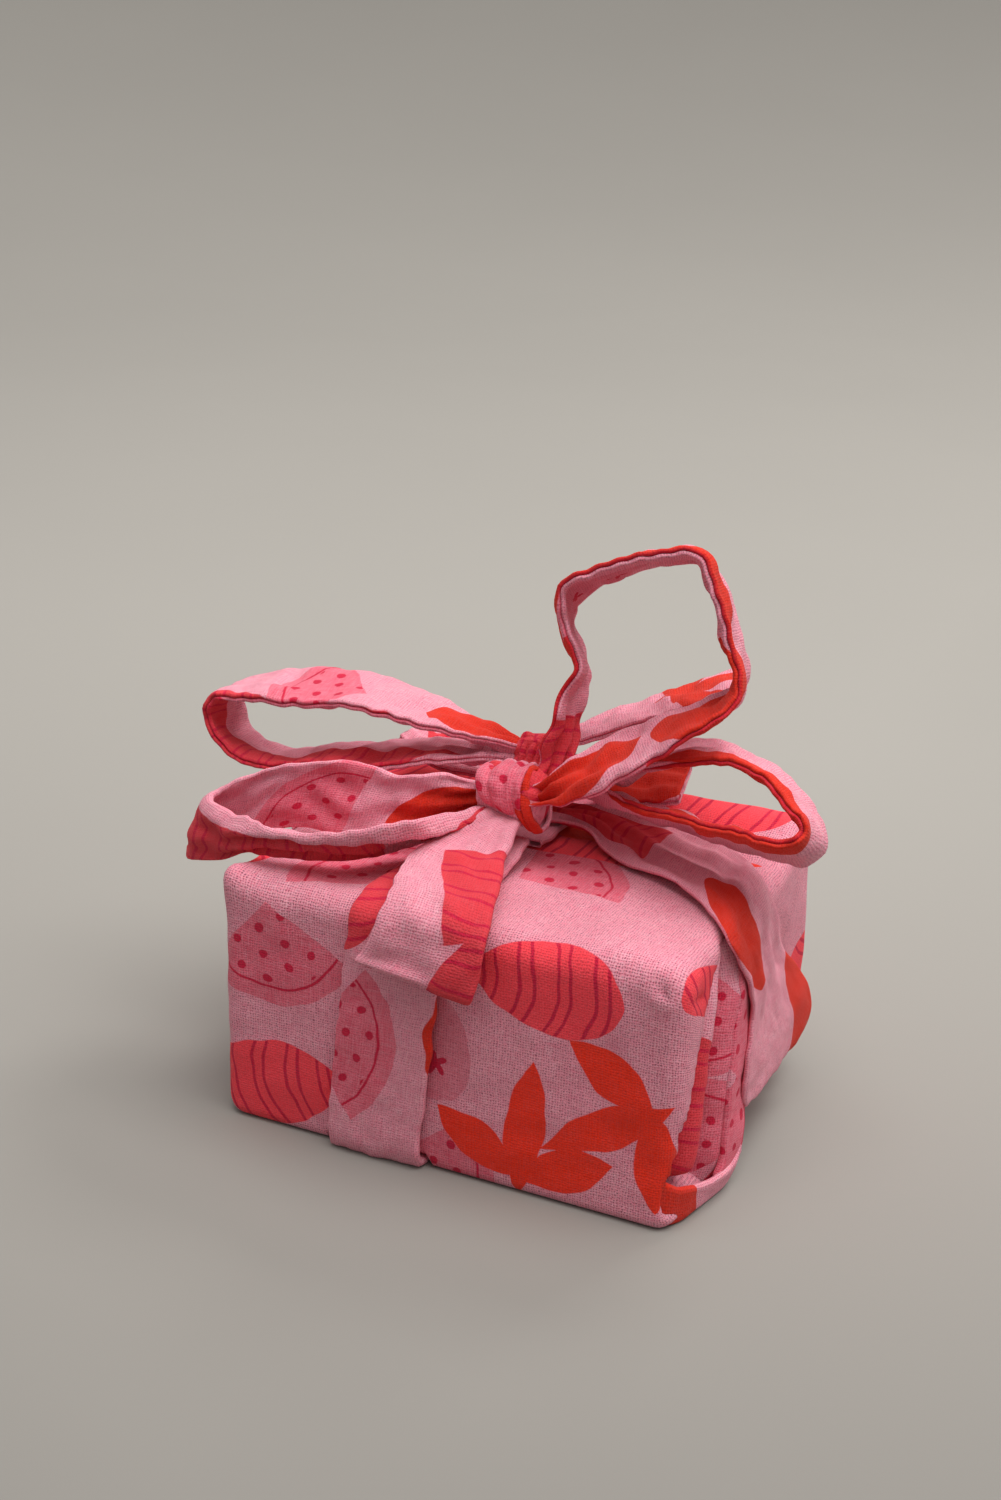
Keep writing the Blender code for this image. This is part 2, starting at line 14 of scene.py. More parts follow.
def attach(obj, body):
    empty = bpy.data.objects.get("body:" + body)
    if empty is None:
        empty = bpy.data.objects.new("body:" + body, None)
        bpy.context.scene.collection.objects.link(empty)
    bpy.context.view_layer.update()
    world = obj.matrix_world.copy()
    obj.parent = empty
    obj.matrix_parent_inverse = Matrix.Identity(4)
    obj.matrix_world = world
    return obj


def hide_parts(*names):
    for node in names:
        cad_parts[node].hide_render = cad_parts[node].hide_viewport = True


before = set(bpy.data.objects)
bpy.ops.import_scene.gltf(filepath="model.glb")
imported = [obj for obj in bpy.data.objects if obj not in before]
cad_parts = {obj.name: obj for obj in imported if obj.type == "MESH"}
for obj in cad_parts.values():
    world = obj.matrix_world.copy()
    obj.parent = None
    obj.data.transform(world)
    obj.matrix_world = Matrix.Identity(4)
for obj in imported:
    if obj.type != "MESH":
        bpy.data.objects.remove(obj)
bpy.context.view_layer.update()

bl_info = {
    "name": "Furoshiki Wrap",
    "version": (1, 0, 0),
    "blender": (4, 5, 0),
    "location": "3D View > Sidebar > Wrap",
    "description": "Dresses a tied parcel wrap in printed cotton",
    "category": "Add Mesh",
}

MM = 0.001
TURN = 2 * np.pi
BASE_CLEARANCE = 0.2  # no cloth lies lower

EDGE_RADIUS = 5.0  # of the long edges of the top
FOOT_RADIUS = 2.4  # of the long edges of the base
CORNER_RADII = (EDGE_RADIUS, EDGE_RADIUS, FOOT_RADIUS, FOOT_RADIUS)
CORNER_POINTS = 7  # round each corner
END_RADIUS = 3.9  # of the edges round each end
SHARP_CORNERS = ((-47.5, -37, 52), (-47.5, 37, 52))
CORNER_PULL = (1.2, 1.7, 3.0)
CORNER_REACH = 5.6
END_SLOT = 23.0  # how far each end closes towards its middle, where the corners tuck in
END_SHRINK = 0.3  # of the corner radii, for each millimetre closed
SMALLEST_RADIUS = 0.9
FINE_FROM = 18.0  # the shell's rings lie closer from here to the right end
COARSE_STEP, FINE_STEP = 1.25, 0.8  # between rings, as shares of the grid step
LEFT_END_STEP, RIGHT_END_STEP = 1.5, 0.75

BAND_FOOT_X = -12.6  # where the girth tie crosses the base
BAND_CHANNEL = 2.15  # how far the base is drawn up over the girth tie
CHANNEL_X = (10.2, 11.0)  # each pair says where a form starts and where it is whole
CHANNEL_FADE = 5.0  # the height at which the draw-up has died out

TUCK_DEPTH = 8.0  # how far each end is drawn in along its foot, all but its front corner
TUCK_HEIGHT = 13.0
TUCK_Y = (-16.0, -2.0)
TUCK_X = (30.0, 47.0)
RIDGE_HEIGHT = 4.6  # the layers folded under the back of the top
RIDGE_X = (6.0, 20.0)
RIDGE_Y = (16.0, 31.0)
RIDGE_Z = (30.0, 50.0)
WALL_BELLY = 0.56  # how far the front and the back bulge
WALL_Y = (33.0, 36.9)
BELLY_SPREAD, CROWN_SPREAD = 1.1, 1.15  # how much longer than the parcel half a wave of them is
TOP_CROWN = 0.21
TOP_EDGE = 4.0  # the top's own forms fade out this far below it
TOP_SAG = 0.35  # the slow waves of the top, away from the knots
SAG_PACE = (9.0, 13.0)
SAG_START = 0.6
SAG_FROM_KNOTS = (14.0, 24.0)
KNOTS_X = -8.0

# The right end is drawn in behind its front corner: the z and y of the fold line there.
CORNER_FOLD = (
    (0, -37.2), (9, -36.8), (14, -35.6), (20, -34.6), (25, -31.4), (32, -29.8), (41, -26.6), (46, -23),
    (50, -19),
)
FOLD_DEPTH = 5.0
FOLD_STEP = 1.5
FOLD_X = (36.0, 46.0)
FOLD_BACK = (-9.0, -3.0)
FOLD_FOOT = (2.0, 7.0)
FOLD_TOP = (46.5, 51.0)

# Soft folds of the shell: two points, how deep (negative stands proud) and how wide.
CREASES = (
    (40.5, -37.2, 50.5, 44.5, -37.4, 47.5, 1.3, 1.2), (42, -37.4, 49.2, 48, -33.5, 45.6, 1, 0.9),
    (46.5, -34.5, 46, 47.5, -26.5, 44, 1.1, 0.9), (39, -34, 52, 45, -37, 44, -0.7, 2.6),
    (30, -37, 47, 42, -37, 40, -0.35, 3), (26, -37, 38, 44, -37, 28, 0.3, 3.4),
    (34, -37, 22, 45.5, -37, 8, 0.35, 3), (4, -37, 46, 10, -37, 26, 0.3, 3.2),
    (12, -37, 12, 30, -37, 4, -0.3, 3), (-44, -37, 44, -28, -37, 34, 0.3, 3),
    (-40, -37, 8, -26, -37, 16, -0.3, 3.2), (14, -34, 52, 26, -18, 52, 0.35, 3),
    (30, -35, 52, 24, -12, 52, -0.3, 3.2), (-30, -32, 52, -24, -20, 52, 0.3, 3),
    (-20, 37, 44, 10, 37, 30, 0.4, 4), (12, 37, 40, 34, 37, 14, 0.4, 3.6),
    (-44, 37, 40, -30, 37, 12, -0.4, 3.6), (-47, -20, 40, -47, -30, 14, 0.6, 2.6),
)
CREASE_START, CREASE_END = (-0.05, 0.3), (-0.05, 0.4)  # the shares of its length where it sets in and ends
# The shell's unevenness: how long its waves are, their share, and their seed. The base stays flat.
SHELL_WAVES = ((21.0, 1.0, 31), (8.0, 0.45, 32))
WAVES_FROM_BASE = (1.0, 8.0)

# Each row of a ribbon is one station: a point on its near edge, then one on its far edge, both x, y, z. Where
# the girth band's edges lie level, its rows here are both x, then the y and z that they share.
GIRTH_BAND = ((-9.5, -4, 56.6, 2.5, -5, 56.6), (-12, -9, 55.4, 2.6, -10, 55.4)) + tuple(
    (near, y, z, far, y, z)
    for near, far, y, z in (
        (-15.5, 2.4, -18, 53.6), (-17.2, 1.9, -28, 53.5), (-17.7, 1.6, -34, 53.3), (-18, 1.4, -37.4, 51.6),
        (-18.3, 1, -38.9, 48), (-19.6, -0.2, -39.1, 34), (-21.2, -1.8, -39.1, 18), (-22.1, -2.8, -39.1, 6.5),
        (-22.3, -2.9, -38.5, 2.4), (-22.3, -2.9, -35.6, 0.9), (-22.3, -2.9, -16, 0.9), (-22.3, -2.9, 0, 0.9),
        (-22.3, -2.9, 16, 0.9), (-22.3, -2.9, 35.6, 0.9), (-22.2, -2.8, 38.5, 2.4), (-22, -2.6, 39.1, 6.5),
        (-20.5, -1.1, 39.1, 18), (-18.5, 0.9, 39.1, 34), (-17, 2.4, 38.9, 48), (-16.7, 2.7, 37.4, 51.6),
        (-16.4, 3, 34, 53.4), (-15.6, 3, 26, 53.7), (-13, 3, 12, 53.7), (-10.5, 2.5, 1, 53.7),
    )
)

# Of a strap the front edge comes first, then the back one.
RIGHT_STRAP = (
    (44, -8, 19, 43, 22, 18), (47.6, -8.6, 14.2, 47.2, 24, 10.8), (51.2, -9.4, 13.6, 50.2, 27.5, 10.6),
    (51.8, -11.8, 17.5, 51.4, 31, 17), (51.9, -12.2, 24.5, 50.2, 24.5, 27.5),
    (51.8, -10.4, 33.5, 48.8, 15, 36), (51.4, -12.4, 40.1, 48.4, 11, 43.5), (50.6, -15.8, 45.5, 48.2, 9, 48),
    (49.4, -18.3, 50.8, 47.2, 7.6, 52), (46, -16.6, 54.3, 44.6, 8.8, 54.2), (35, -6, 54.6, 36.5, 16, 54.4),
    (18, 1.5, 54.4, 21, 19.5, 55), (9, 7.5, 56, 12.5, 18.5, 56.4), (1, 8, 57, 3.5, 15.5, 57.2),
    (-4, 6.5, 57.2, -3, 12.5, 57.2),
)
LEFT_STRAP = (
    (-43, -16, 18, -43, 14, 19), (-47.5, -18, 11.5, -47.5, 15, 13.5), (-50.5, -20, 11.5, -50.3, 16.5, 13.5),
    (-52, -21, 19, -51.8, 18, 19), (-51.8, -14, 31, -52.2, 20, 30), (-51.2, -6, 42.5, -51.4, 20.5, 42),
    (-50.4, -3.5, 51, -49.6, 19, 50), (-46, -4, 55, -44, 17.5, 54.2), (-35, -4.5, 55, -34, 16.5, 54.6),
    (-22, 0.5, 56.4, -21, 16, 55.8), (-12, 4.5, 57.2, -11.5, 14.5, 57), (-5, 6, 57.2, -4, 12.5, 57.2),
    (-1, 7, 57.3, -1, 12, 57.3),
)

# The pleats of an end lie over one another like shingles: each a tongue from its root to its folded edge.
RIGHT_PLEATS = (
    (
        (43, -28, 8, 44.6, -28.2, 8.4), (42.5, -28.2, 10.5, 47.4, -28.6, 9.4),
        (42.5, -27.6, 15, 48.2, -28.2, 15), (42.5, -26.3, 23, 48.3, -26.7, 23),
        (42.5, -25.3, 32, 48.3, -25.5, 32), (42.5, -22.6, 42, 48.1, -22.8, 42),
        (42, -19.5, 49, 46.6, -18.8, 50.4),
    ),
    (
        (43.5, -17.5, 0.9, 48.4, -18.4, 1.6), (43, -17, 7, 49.8, -17.6, 6.4), (43, -16.5, 14, 50.3, -17, 14),
        (43, -16.4, 23, 50.3, -16.8, 23), (43, -15.2, 32, 50.3, -15.6, 32), (43, -13.6, 41, 50, -13.8, 41),
        (42.5, -12.4, 49, 47.8, -13.6, 50.6),
    ),
)

# The outermost layer of the last pleat: flat, from its ridge to where it goes under the strap.
RIGHT_LAP = (
    (48.8, -14.2, 47.5, 48.4, -7, 48), (50, -15, 41, 49.8, -7, 41), (50.7, -17, 32.5, 50.5, -6.5, 32.5),
    (50.9, -18.4, 23, 50.6, -7.5, 23), (50.9, -18.8, 15, 50.9, -9.2, 14.2),
    (50.9, -19, 10.5, 51.6, -10.2, 9.4), (50.8, -19.6, 6.8, 51.7, -12.8, 5.2),
    (50.4, -21, 4, 51.2, -16.6, 2.4),
)

# The base's cloth, turned up in front of the pleats: its rim, then its foot.
END_LIP = (
    (42.6, -36.9, 10.4, 42.6, -36.6, 1.6), (45.6, -36.4, 10, 45, -35.8, 0.7),
    (48, -33.2, 8, 47.3, -31.8, 0.3), (49.6, -28, 6.2, 48.6, -26.6, 0.3), (51, -22.5, 5.2, 49.8, -21.2, 0.3),
    (51.6, -18.6, 5, 50.6, -17.6, 0.6), (51.9, -15.4, 5.4, 51.3, -14.4, 2.4),
    (51.8, -12.6, 7.4, 51.6, -11.6, 5.4),
)

# Of this loop the rim comes first, then the foot.
FRONT_LEFT_LOOP = (
    (-3, -3.6, 66.4, -3, -3, 62.4), (-9, -5.4, 66.8, -10, -4.8, 61.4), (-15, -10, 69.4, -17, -11.5, 58.5),
    (-22, -12, 68.2, -26, -14.5, 56), (-31, -13.5, 69.8, -35, -16, 55.2), (-42, -15.5, 68.2, -45, -17, 54.6),
    (-52, -17.5, 64.8, -57, -17, 49.5), (-58.5, -20.5, 61.6, -65, -18, 47),
    (-58, -25, 60.5, -63, -22.5, 46.2), (-51, -29, 59.8, -54, -26, 49), (-43, -32, 60.2, -45, -28, 53.8),
    (-31, -33, 61.4, -34, -27, 54.6), (-20.5, -31.5, 62.5, -25, -22, 55), (-11, -27, 64.4, -17, -15.5, 56.4),
    (-9.6, -20, 63.6, -11.4, -14.6, 59), (-6.4, -12.5, 63.4, -7.2, -9, 59.6),
    (-4.2, -7.5, 63, -4.6, -6, 60.8),
)
TALL_LOOP = (
    (-1.5, -2.6, 65.2, -0.5, -1.2, 64.8), (1.8, -1.8, 67.4, 4.6, 0.6, 66.8), (3, -1.6, 72.6, 6.6, 3.8, 72),
    (5, -1, 81, 5, 12.5, 78.5), (6, 0, 86, 4, 16.5, 81.5), (9, 0, 91, 3.8, 18, 84.5),
    (8.2, 0, 95, 2.2, 17.5, 88), (5.5, 0, 101, 0, 17.5, 94), (5, 0, 106, 0, 17.5, 98),
    (7.5, 0, 109, 3, 17.5, 100.5), (14, 0, 112, 8, 18, 104.5), (21, 0, 115, 15, 18, 108),
    (28.5, 0, 117, 22.5, 18, 111), (32, 0, 116, 26.5, 18.5, 110.5), (34.5, 0, 112, 29.5, 19, 107),
    (37, 0, 106, 32.5, 19, 101), (38.8, 0, 99.5, 34.5, 18.5, 94.5), (40.8, -0.5, 95, 35.8, 18, 89.5),
    (41.4, -1.5, 91.8, 35, 16, 86.5), (39.4, -4, 89, 32, 13, 84.8), (34.5, -7, 85, 26.5, 10.5, 83),
    (29, -8, 80.2, 20.5, 8.5, 79.6), (23.5, -9, 75.8, 15, 6.5, 77), (17.5, -9.2, 71.6, 12.5, 0.5, 75.6),
    (10.5, -9, 67.6, 9.4, -4, 73.4), (4.5, -7.4, 65.2, 4.5, -5.2, 69), (-1.5, -6.4, 64.4, -1.5, -5, 66.4),
)
FRONT_TAIL = (
    (-4.6, -7.4, 63.4, 1.8, -7.4, 61.8), (-6.2, -10.9, 62.2, 2.4, -11, 60.6),
    (-9.8, -17, 59.4, 3.6, -17, 58.8), (-12.6, -24, 58.4, 5.6, -24, 57.6), (-11.6, -32, 57.4, 8.4, -32, 57),
    (-10.2, -38.5, 56, 10.2, -38.5, 55.4), (-10.6, -42.2, 52.4, 11, -42.2, 52),
    (-12.6, -43.2, 47, 10.2, -43.2, 46), (-14.4, -43.4, 43.2, 8.8, -43.4, 40.6),
)
REAR_LEFT_LOOP = (
    (-3, 8, 69.5, -4, 12, 69), (-8, 6, 70.6, -9, 12.5, 69.8), (-13, 3.6, 71.6, -14, 15, 70.4),
    (-22, 1, 73.6, -23.5, 18, 72), (-32.5, -1, 75.5, -34, 19, 74), (-43, -2, 76, -45.5, 18, 76),
    (-54, -3, 74.5, -57, 17, 75), (-64, -3, 74, -66.5, 17, 73), (-70, -3, 73, -73, 16.5, 70),
    (-71.6, -3, 69.5, -75, 16, 66), (-70, -3, 65, -74, 16, 60), (-66, -3, 61.2, -69.5, 16, 57),
    (-59, -3, 60, -61, 16.5, 56.6), (-48, -2, 62, -49, 18, 59.5), (-35, 0, 63.5, -35, 20, 62.5),
    (-23, 2, 66, -23, 19, 64.4), (-13, 4.5, 67.4, -13, 15, 66), (-7.5, 6.5, 67.2, -7.5, 12, 66.2),
    (-3, 8, 66.5, -3, 11.5, 66),
)
LOW_LOOP = (
    (-1, 8, 66.5, -1, 12, 64), (6, 5.5, 66.3, 6, 11.5, 62.8), (13, 2.6, 66.3, 12, 11.5, 61.4),
    (22, -2, 67, 20, 11.5, 60.4), (34, -7, 68.5, 31, 10, 59), (45, -12, 70, 42, 5, 60),
    (53.5, -14, 70.4, 51.5, 2, 60.5), (58, -14, 71.6, 57, 3, 61.8), (59, -13, 73.6, 58.5, 4, 64),
    (57.6, -11.5, 75.4, 57, 6, 66.5), (54.6, -9.5, 76, 54, 9, 68.5), (52, -8, 77.4, 51, 11, 70),
    (49, -6, 79, 47, 12.5, 72), (44.5, -4, 79.6, 42, 15, 73.5), (38, -2, 79, 34, 17, 75),
    (30.5, 0, 76.5, 26.5, 19, 74), (24, 1, 73.5, 21.5, 17.5, 71.4), (18, 2.5, 70.6, 16.5, 14.5, 68.6),
    (10, 5.5, 69, 10, 12.5, 67), (-1, 8, 69, -1, 12, 67),
)
REAR_RIGHT_TAIL = (
    (-3, 10, 69.5, -3, 12.5, 69), (2, 11.5, 71.4, 0.5, 17, 70.6), (8.5, 14.5, 73.6, 4, 27, 72.2),
    (17.5, 17, 77, 11.5, 33.5, 75.4), (26.5, 19.5, 80.8, 20.5, 37, 79.4), (33, 22, 83.6, 28, 39.5, 83),
)
LOW_RIGHT_TAIL = (
    (-2, 11, 64.5, -3, 13, 65), (4, 14, 61.8, 2, 19, 62.2), (11, 17, 60, 6.5, 27, 60.8),
    (17.5, 18.5, 59.4, 12.5, 32.5, 60.8), (23.8, 20, 60.6, 21.5, 33, 63.2),
)
LOW_LEFT_TAIL = (
    (-5, 10.5, 64.4, -4, 13, 64.5), (-12, 15, 61, -9, 21, 62.6), (-21, 17.5, 58.4, -18, 29, 61.4),
    (-31, 20.5, 57.4, -29, 34, 59), (-41, 24, 61, -40, 36.5, 60),
)

# Each knot: its gathered core, then the passes of tie round it, from the one that shows most. A groove of a
# pass is where it lies across, how deep it is, and where on the way down it dies out.
FRONT_KNOT = {
    "centre": (-1.4, -4.2, 65.5), "radii": (6.8, 4.8, 5.5), "ruffle": 0.06, "print": (20, 170),
    "passes": (
        {
            "centre": (-2, -4.6, 67), "radii": (5.5, 4.3), "width": 9.8, "narrow": 0.24, "lean": 1,
            "spread": 0.36, "grooves": ((-0.22, 0.7, -0.9), (0.12, 0.6, -0.3), (0.34, 0.5, -1.2)),
            "print": (56, 24), "seed": 5,
        },
        {
            "centre": (2.3, -4, 65.4), "radii": (5, 5.7), "width": 4.2, "narrow": 0.3, "lean": 1.7,
            "spread": 0.1, "grooves": ((0, 0.5, -1.5),), "print": (60, -6), "seed": 9,
        },
    ),
}
REAR_KNOT = {
    "centre": (-2, 9.8, 66.6), "radii": (5.2, 4, 5.8), "ruffle": 0.1, "print": (20, 0),
    "passes": (
        {
            "centre": (-2.6, 9.8, 66.8), "radii": (4, 5.6), "width": 6.4, "narrow": 0.3, "lean": -0.8,
            "spread": 0.1, "grooves": ((-0.25, 0.8, -1.2), (0.05, 0.9, -0.8), (0.3, 0.8, -1.2)),
            "print": (30, -6), "seed": 8,
        },
    ),
}

# How a strip lies unless its row says otherwise: how far it gathers as it narrows and in how many folds, its
# slow buckles, its small crinkles, how its layers puff up, how its near edge curls, how far its edges wander,
# over what length its end stays even, and how far the layers part and the upper one is short at a cut end.
LAY = {
    "gather": 1.3, "gathers": 2.5, "buckle": 0.4, "crinkle": 0.12, "puff": 0.25, "curl": 0.0, "wander": 0.22,
    "fade_end": 0.1, "mouth": 0.0, "short": 0.0,
}
# Each length of tie: its rows, where on the print it was cut and how it lies, and its seed.
GIRTH_STRIPS = ((GIRTH_BAND, {"print": (208, 0), "gather": 0.5, "buckle": 0.12, "puff": 0.1}, 11),)
FRONT_STRIPS = (
    (FRONT_LEFT_LOOP, {"print": (52, 0), "fold_near": True, "curl": 0.9, "gathers": 2.2}, 21),
    (TALL_LOOP, {"print": (0, 0), "wander": 0.35, "buckle": 0.5}, 22),
    (FRONT_TAIL, {"print": (0, 160), "buckle": 0.3, "mouth": 0.9, "short": 1.1}, 23),
)
REAR_STRIPS = (
    (REAR_LEFT_LOOP, {"print": (156, 0), "wander": 0.35, "buckle": 0.55}, 31),
    (LOW_LOOP, {"print": (104, 0), "wander": 0.4, "buckle": 0.5}, 32),
    (REAR_RIGHT_TAIL, {"print": (52, 150)}, 33),
    (LOW_RIGHT_TAIL, {"print": (104, 150)}, 34),
    (LOW_LEFT_TAIL, {"print": (156, 160)}, 35),
)
TIE_COLUMNS = 16

SHELL_PRINT = (-44.7, -8.9)
STRAP_LAY = {"gather": 1.0, "gathers": 3.0, "buckle": 0.3, "crinkle": 0.08, "puff": 0.0, "wander": 0.15}
PLEAT_LAY = {"gather": 0.0, "buckle": 0.25, "crinkle": 0.08, "puff": 0.0, "wander": 0.1}
LAP_LAY = {"gather": 0.0, "buckle": 0.16, "crinkle": 0.06, "puff": 0.0, "wander": 0.15}
LIP_LAY = {**LAP_LAY, "buckle": 0.14}
# Each strip of the wrap cloth: its rows, width, section, seed and lay, and where on the print it was cut.
WRAP_STRIPS = (
    (RIGHT_STRAP, 36.0, {"hem": 4.0, "points": 34, "drop": 0.9, "side": -1.0}, 41, STRAP_LAY, (260, 0)),
    (LEFT_STRAP, 36.0, {"hem": 4.0, "points": 34, "drop": 0.9}, 42, STRAP_LAY, (260, 120)),
    (RIGHT_PLEATS[0], 5.8, {"bulge": 3.4, "points": 26}, 60, PLEAT_LAY, (0, 220)),
    (RIGHT_PLEATS[1], 7.4, {"bulge": 5.4, "points": 26}, 61, PLEAT_LAY, (20, 220)),
    (RIGHT_LAP, 9.6, {"hem": 2.5, "points": 12, "drop": 1.6}, 72, LAP_LAY, (56, 220)),
    (END_LIP, 6.0, {"hem": 2.0, "points": 8, "drop": 1.1, "side": -1.0}, 71, LIP_LAY, (90, 220)),
)


WAVE_SPREAD = (0.7, 1.6)  # how far the waves' lengths lie about their size
CURVE_POINTS = 24  # for each span of a ribbon's rows


def smoothstep(value, start, end):
    """0 before start, 1 after end, with a soft rise between them."""
    t = np.clip((value - start) / (end - start), 0.0, 1.0)
    return t * t * (3.0 - 2.0 * t)


def together(*parts):
    """The coordinates of a grid or section, brought to one shape and stacked."""
    return np.stack(np.broadcast_arrays(*parts), axis=-1)


def unit(vectors):
    """The vectors at length one."""
    return vectors / np.maximum(np.linalg.norm(vectors, axis=-1, keepdims=True), 1e-9)


def waves(u, v, size, seed, count=7):
    """Smooth unevenness: the mean of a few plane waves in seeded directions, about size millimetres long."""
    chance = np.random.default_rng(seed)
    total = 0.0
    for _ in range(count):
        turn, start = chance.uniform(0.0, TURN, 2)
        pace = TURN / (size * chance.uniform(*WAVE_SPREAD))
        total = total + np.sin(pace * (u * np.cos(turn) + v * np.sin(turn)) + start)
    return total / math.sqrt(count)


def waves_at(points, size, seed, count=9):
    """Smooth unevenness over places: the mean of a few plane waves in seeded directions through them."""
    chance = np.random.default_rng(seed)
    total = 0.0
    for _ in range(count):
        direction = unit(chance.normal(size=3))
        pace = TURN / (size * chance.uniform(*WAVE_SPREAD))
        total = total + np.sin(pace * (points @ direction) + chance.uniform(0.0, TURN))
    return total / math.sqrt(count)


def catmull_rom(rows, per_row):
    """Points on the smooth curve through the rows, per_row of them for each span, ends included."""
    rows = np.asarray(rows, float)
    padded = np.vstack([2 * rows[0] - rows[1], rows, 2 * rows[-1] - rows[-2]])
    spans = len(rows) - 1
    t = np.linspace(0.0, spans, spans * per_row + 1)
    span = np.minimum(t.astype(int), spans - 1)
    f = (t - span)[:, None]
    before, start, end, after = (padded[span + k] for k in range(4))
    return 0.5 * (
        2 * start
        + (end - before) * f
        + (2 * before - 5 * start + 4 * end - after) * f**2
        + (3 * start - before - 3 * end + after) * f**3
    )


def even_stations(rows, step):
    """(distance, near edge, far edge) along a strip, at even steps of its middle line through the rows."""
    dense = catmull_rom(rows, CURVE_POINTS)
    reach = run_length((dense[:, :3] + dense[:, 3:]) / 2)
    at = np.linspace(0.0, reach[-1], int(round(reach[-1] / step)) + 1)
    edges = np.stack([np.interp(at, reach, column) for column in dense.T], axis=1)
    return at, edges[:, :3], edges[:, 3:]


def run_length(section):
    """The distance along a section, point by point from its start."""
    return np.concatenate([[0.0], np.cumsum(np.linalg.norm(np.diff(section, axis=0), axis=1))])


def arc(centre, radius, start, end, points=5):
    """An arc of a section about a centre, from one angle in degrees to another."""
    angle = np.radians(np.linspace(start, end, points))
    return together(np.cos(angle), np.sin(angle)) * radius + centre


def straight(start, end, points):
    """Even points between two, without the two themselves."""
    share = np.linspace(0.0, 1.0, points + 2)[1:-1, None]
    return np.asarray(start) + (np.asarray(end) - np.asarray(start)) * share


LAYER_GAP = 0.32  # between the turned-in edges
LAYER_HALF = 0.15  # half of one layer
FOLD_SHARE = 0.9  # a tie's fold is a little thinner than its lip


def doubled_section(width, thickness, hem, points):
    """A tie's section, as distance across and height: cloth folded double, both raw edges turned in.

    It runs from one turned-in edge round the near lip, over the top layer, round the fold at the far edge,
    and back under and in again. LAYER_GAP and LAYER_HALF keep its layers apart.
    """
    high = thickness / 2 - LAYER_HALF
    low = LAYER_GAP / 2
    lip = (high - low) / 2
    fold = high * FOLD_SHARE
    upper = np.concatenate(
        [
            straight((hem + 0.5, low), (lip, low), 2),
            arc((lip, (high + low) / 2), lip, 270, 90),
            straight((lip, high), (width - high, fold), points),
            arc((width - fold, 0.0), fold, 90, 0, 4),
        ]
    )
    return np.concatenate([upper, (upper * (1.0, -1.0))[-2::-1]])


def hemmed_section(width, hem, points, drop=0.7, side=1.0):
    """A single layer's section, both edges turned under it by a half turn; side -1 turns them over it."""
    bend = drop / 2
    left = np.concatenate([straight((hem, -drop), (bend, -drop), 2), arc((bend, -bend), bend, 270, 90)])
    right = (left * (-1.0, 1.0) + (width, 0.0))[::-1]
    whole = np.concatenate([left, straight((bend, 0.0), (width - bend, 0.0), points), right])
    return whole * (1.0, side)


def tongue_section(width, bulge, points):
    """A pleat's section: half an ellipse, from the root over the rounded fold and back."""
    angle = np.radians(np.linspace(90.0, -90.0, points))
    return together(width * np.cos(angle), bulge * np.sin(angle))


STRIP_STEP = 0.9
# How long each kind of wave of a strip is.
DRIFT, BUCKLE, CRINKLE, PUFF, CURL, NEAR_EDGE, FAR_EDGE = 30.0, 13.0, 4.2, 8.0, 22.0, 5.0, 9.0
RIM_SHARE = 0.14  # the layers lie together at the edges, over this share of the width
CURL_SHARE = 0.22
START_LENGTH = 6.0  # over which a strip's unevenness sets in
OPEN_LENGTH = 4.0  # of the parted layers at a cut end
THINNEST = 0.55  # how thick a strip is where it is gathered to nothing, as a share
DRIFT_SHARE = 0.35  # how far the folds drift, as a share of a turn
EDGE_BUCKLE = 0.35  # how much of the buckles the edges keep
PUFFED = 0.6  # how far the layers puff up everywhere
CURL_CHANGE = 0.4  # how much the curl changes along the strip
OPEN_ACROSS = (0.5, 0.75)  # the share of the width where the open end closes


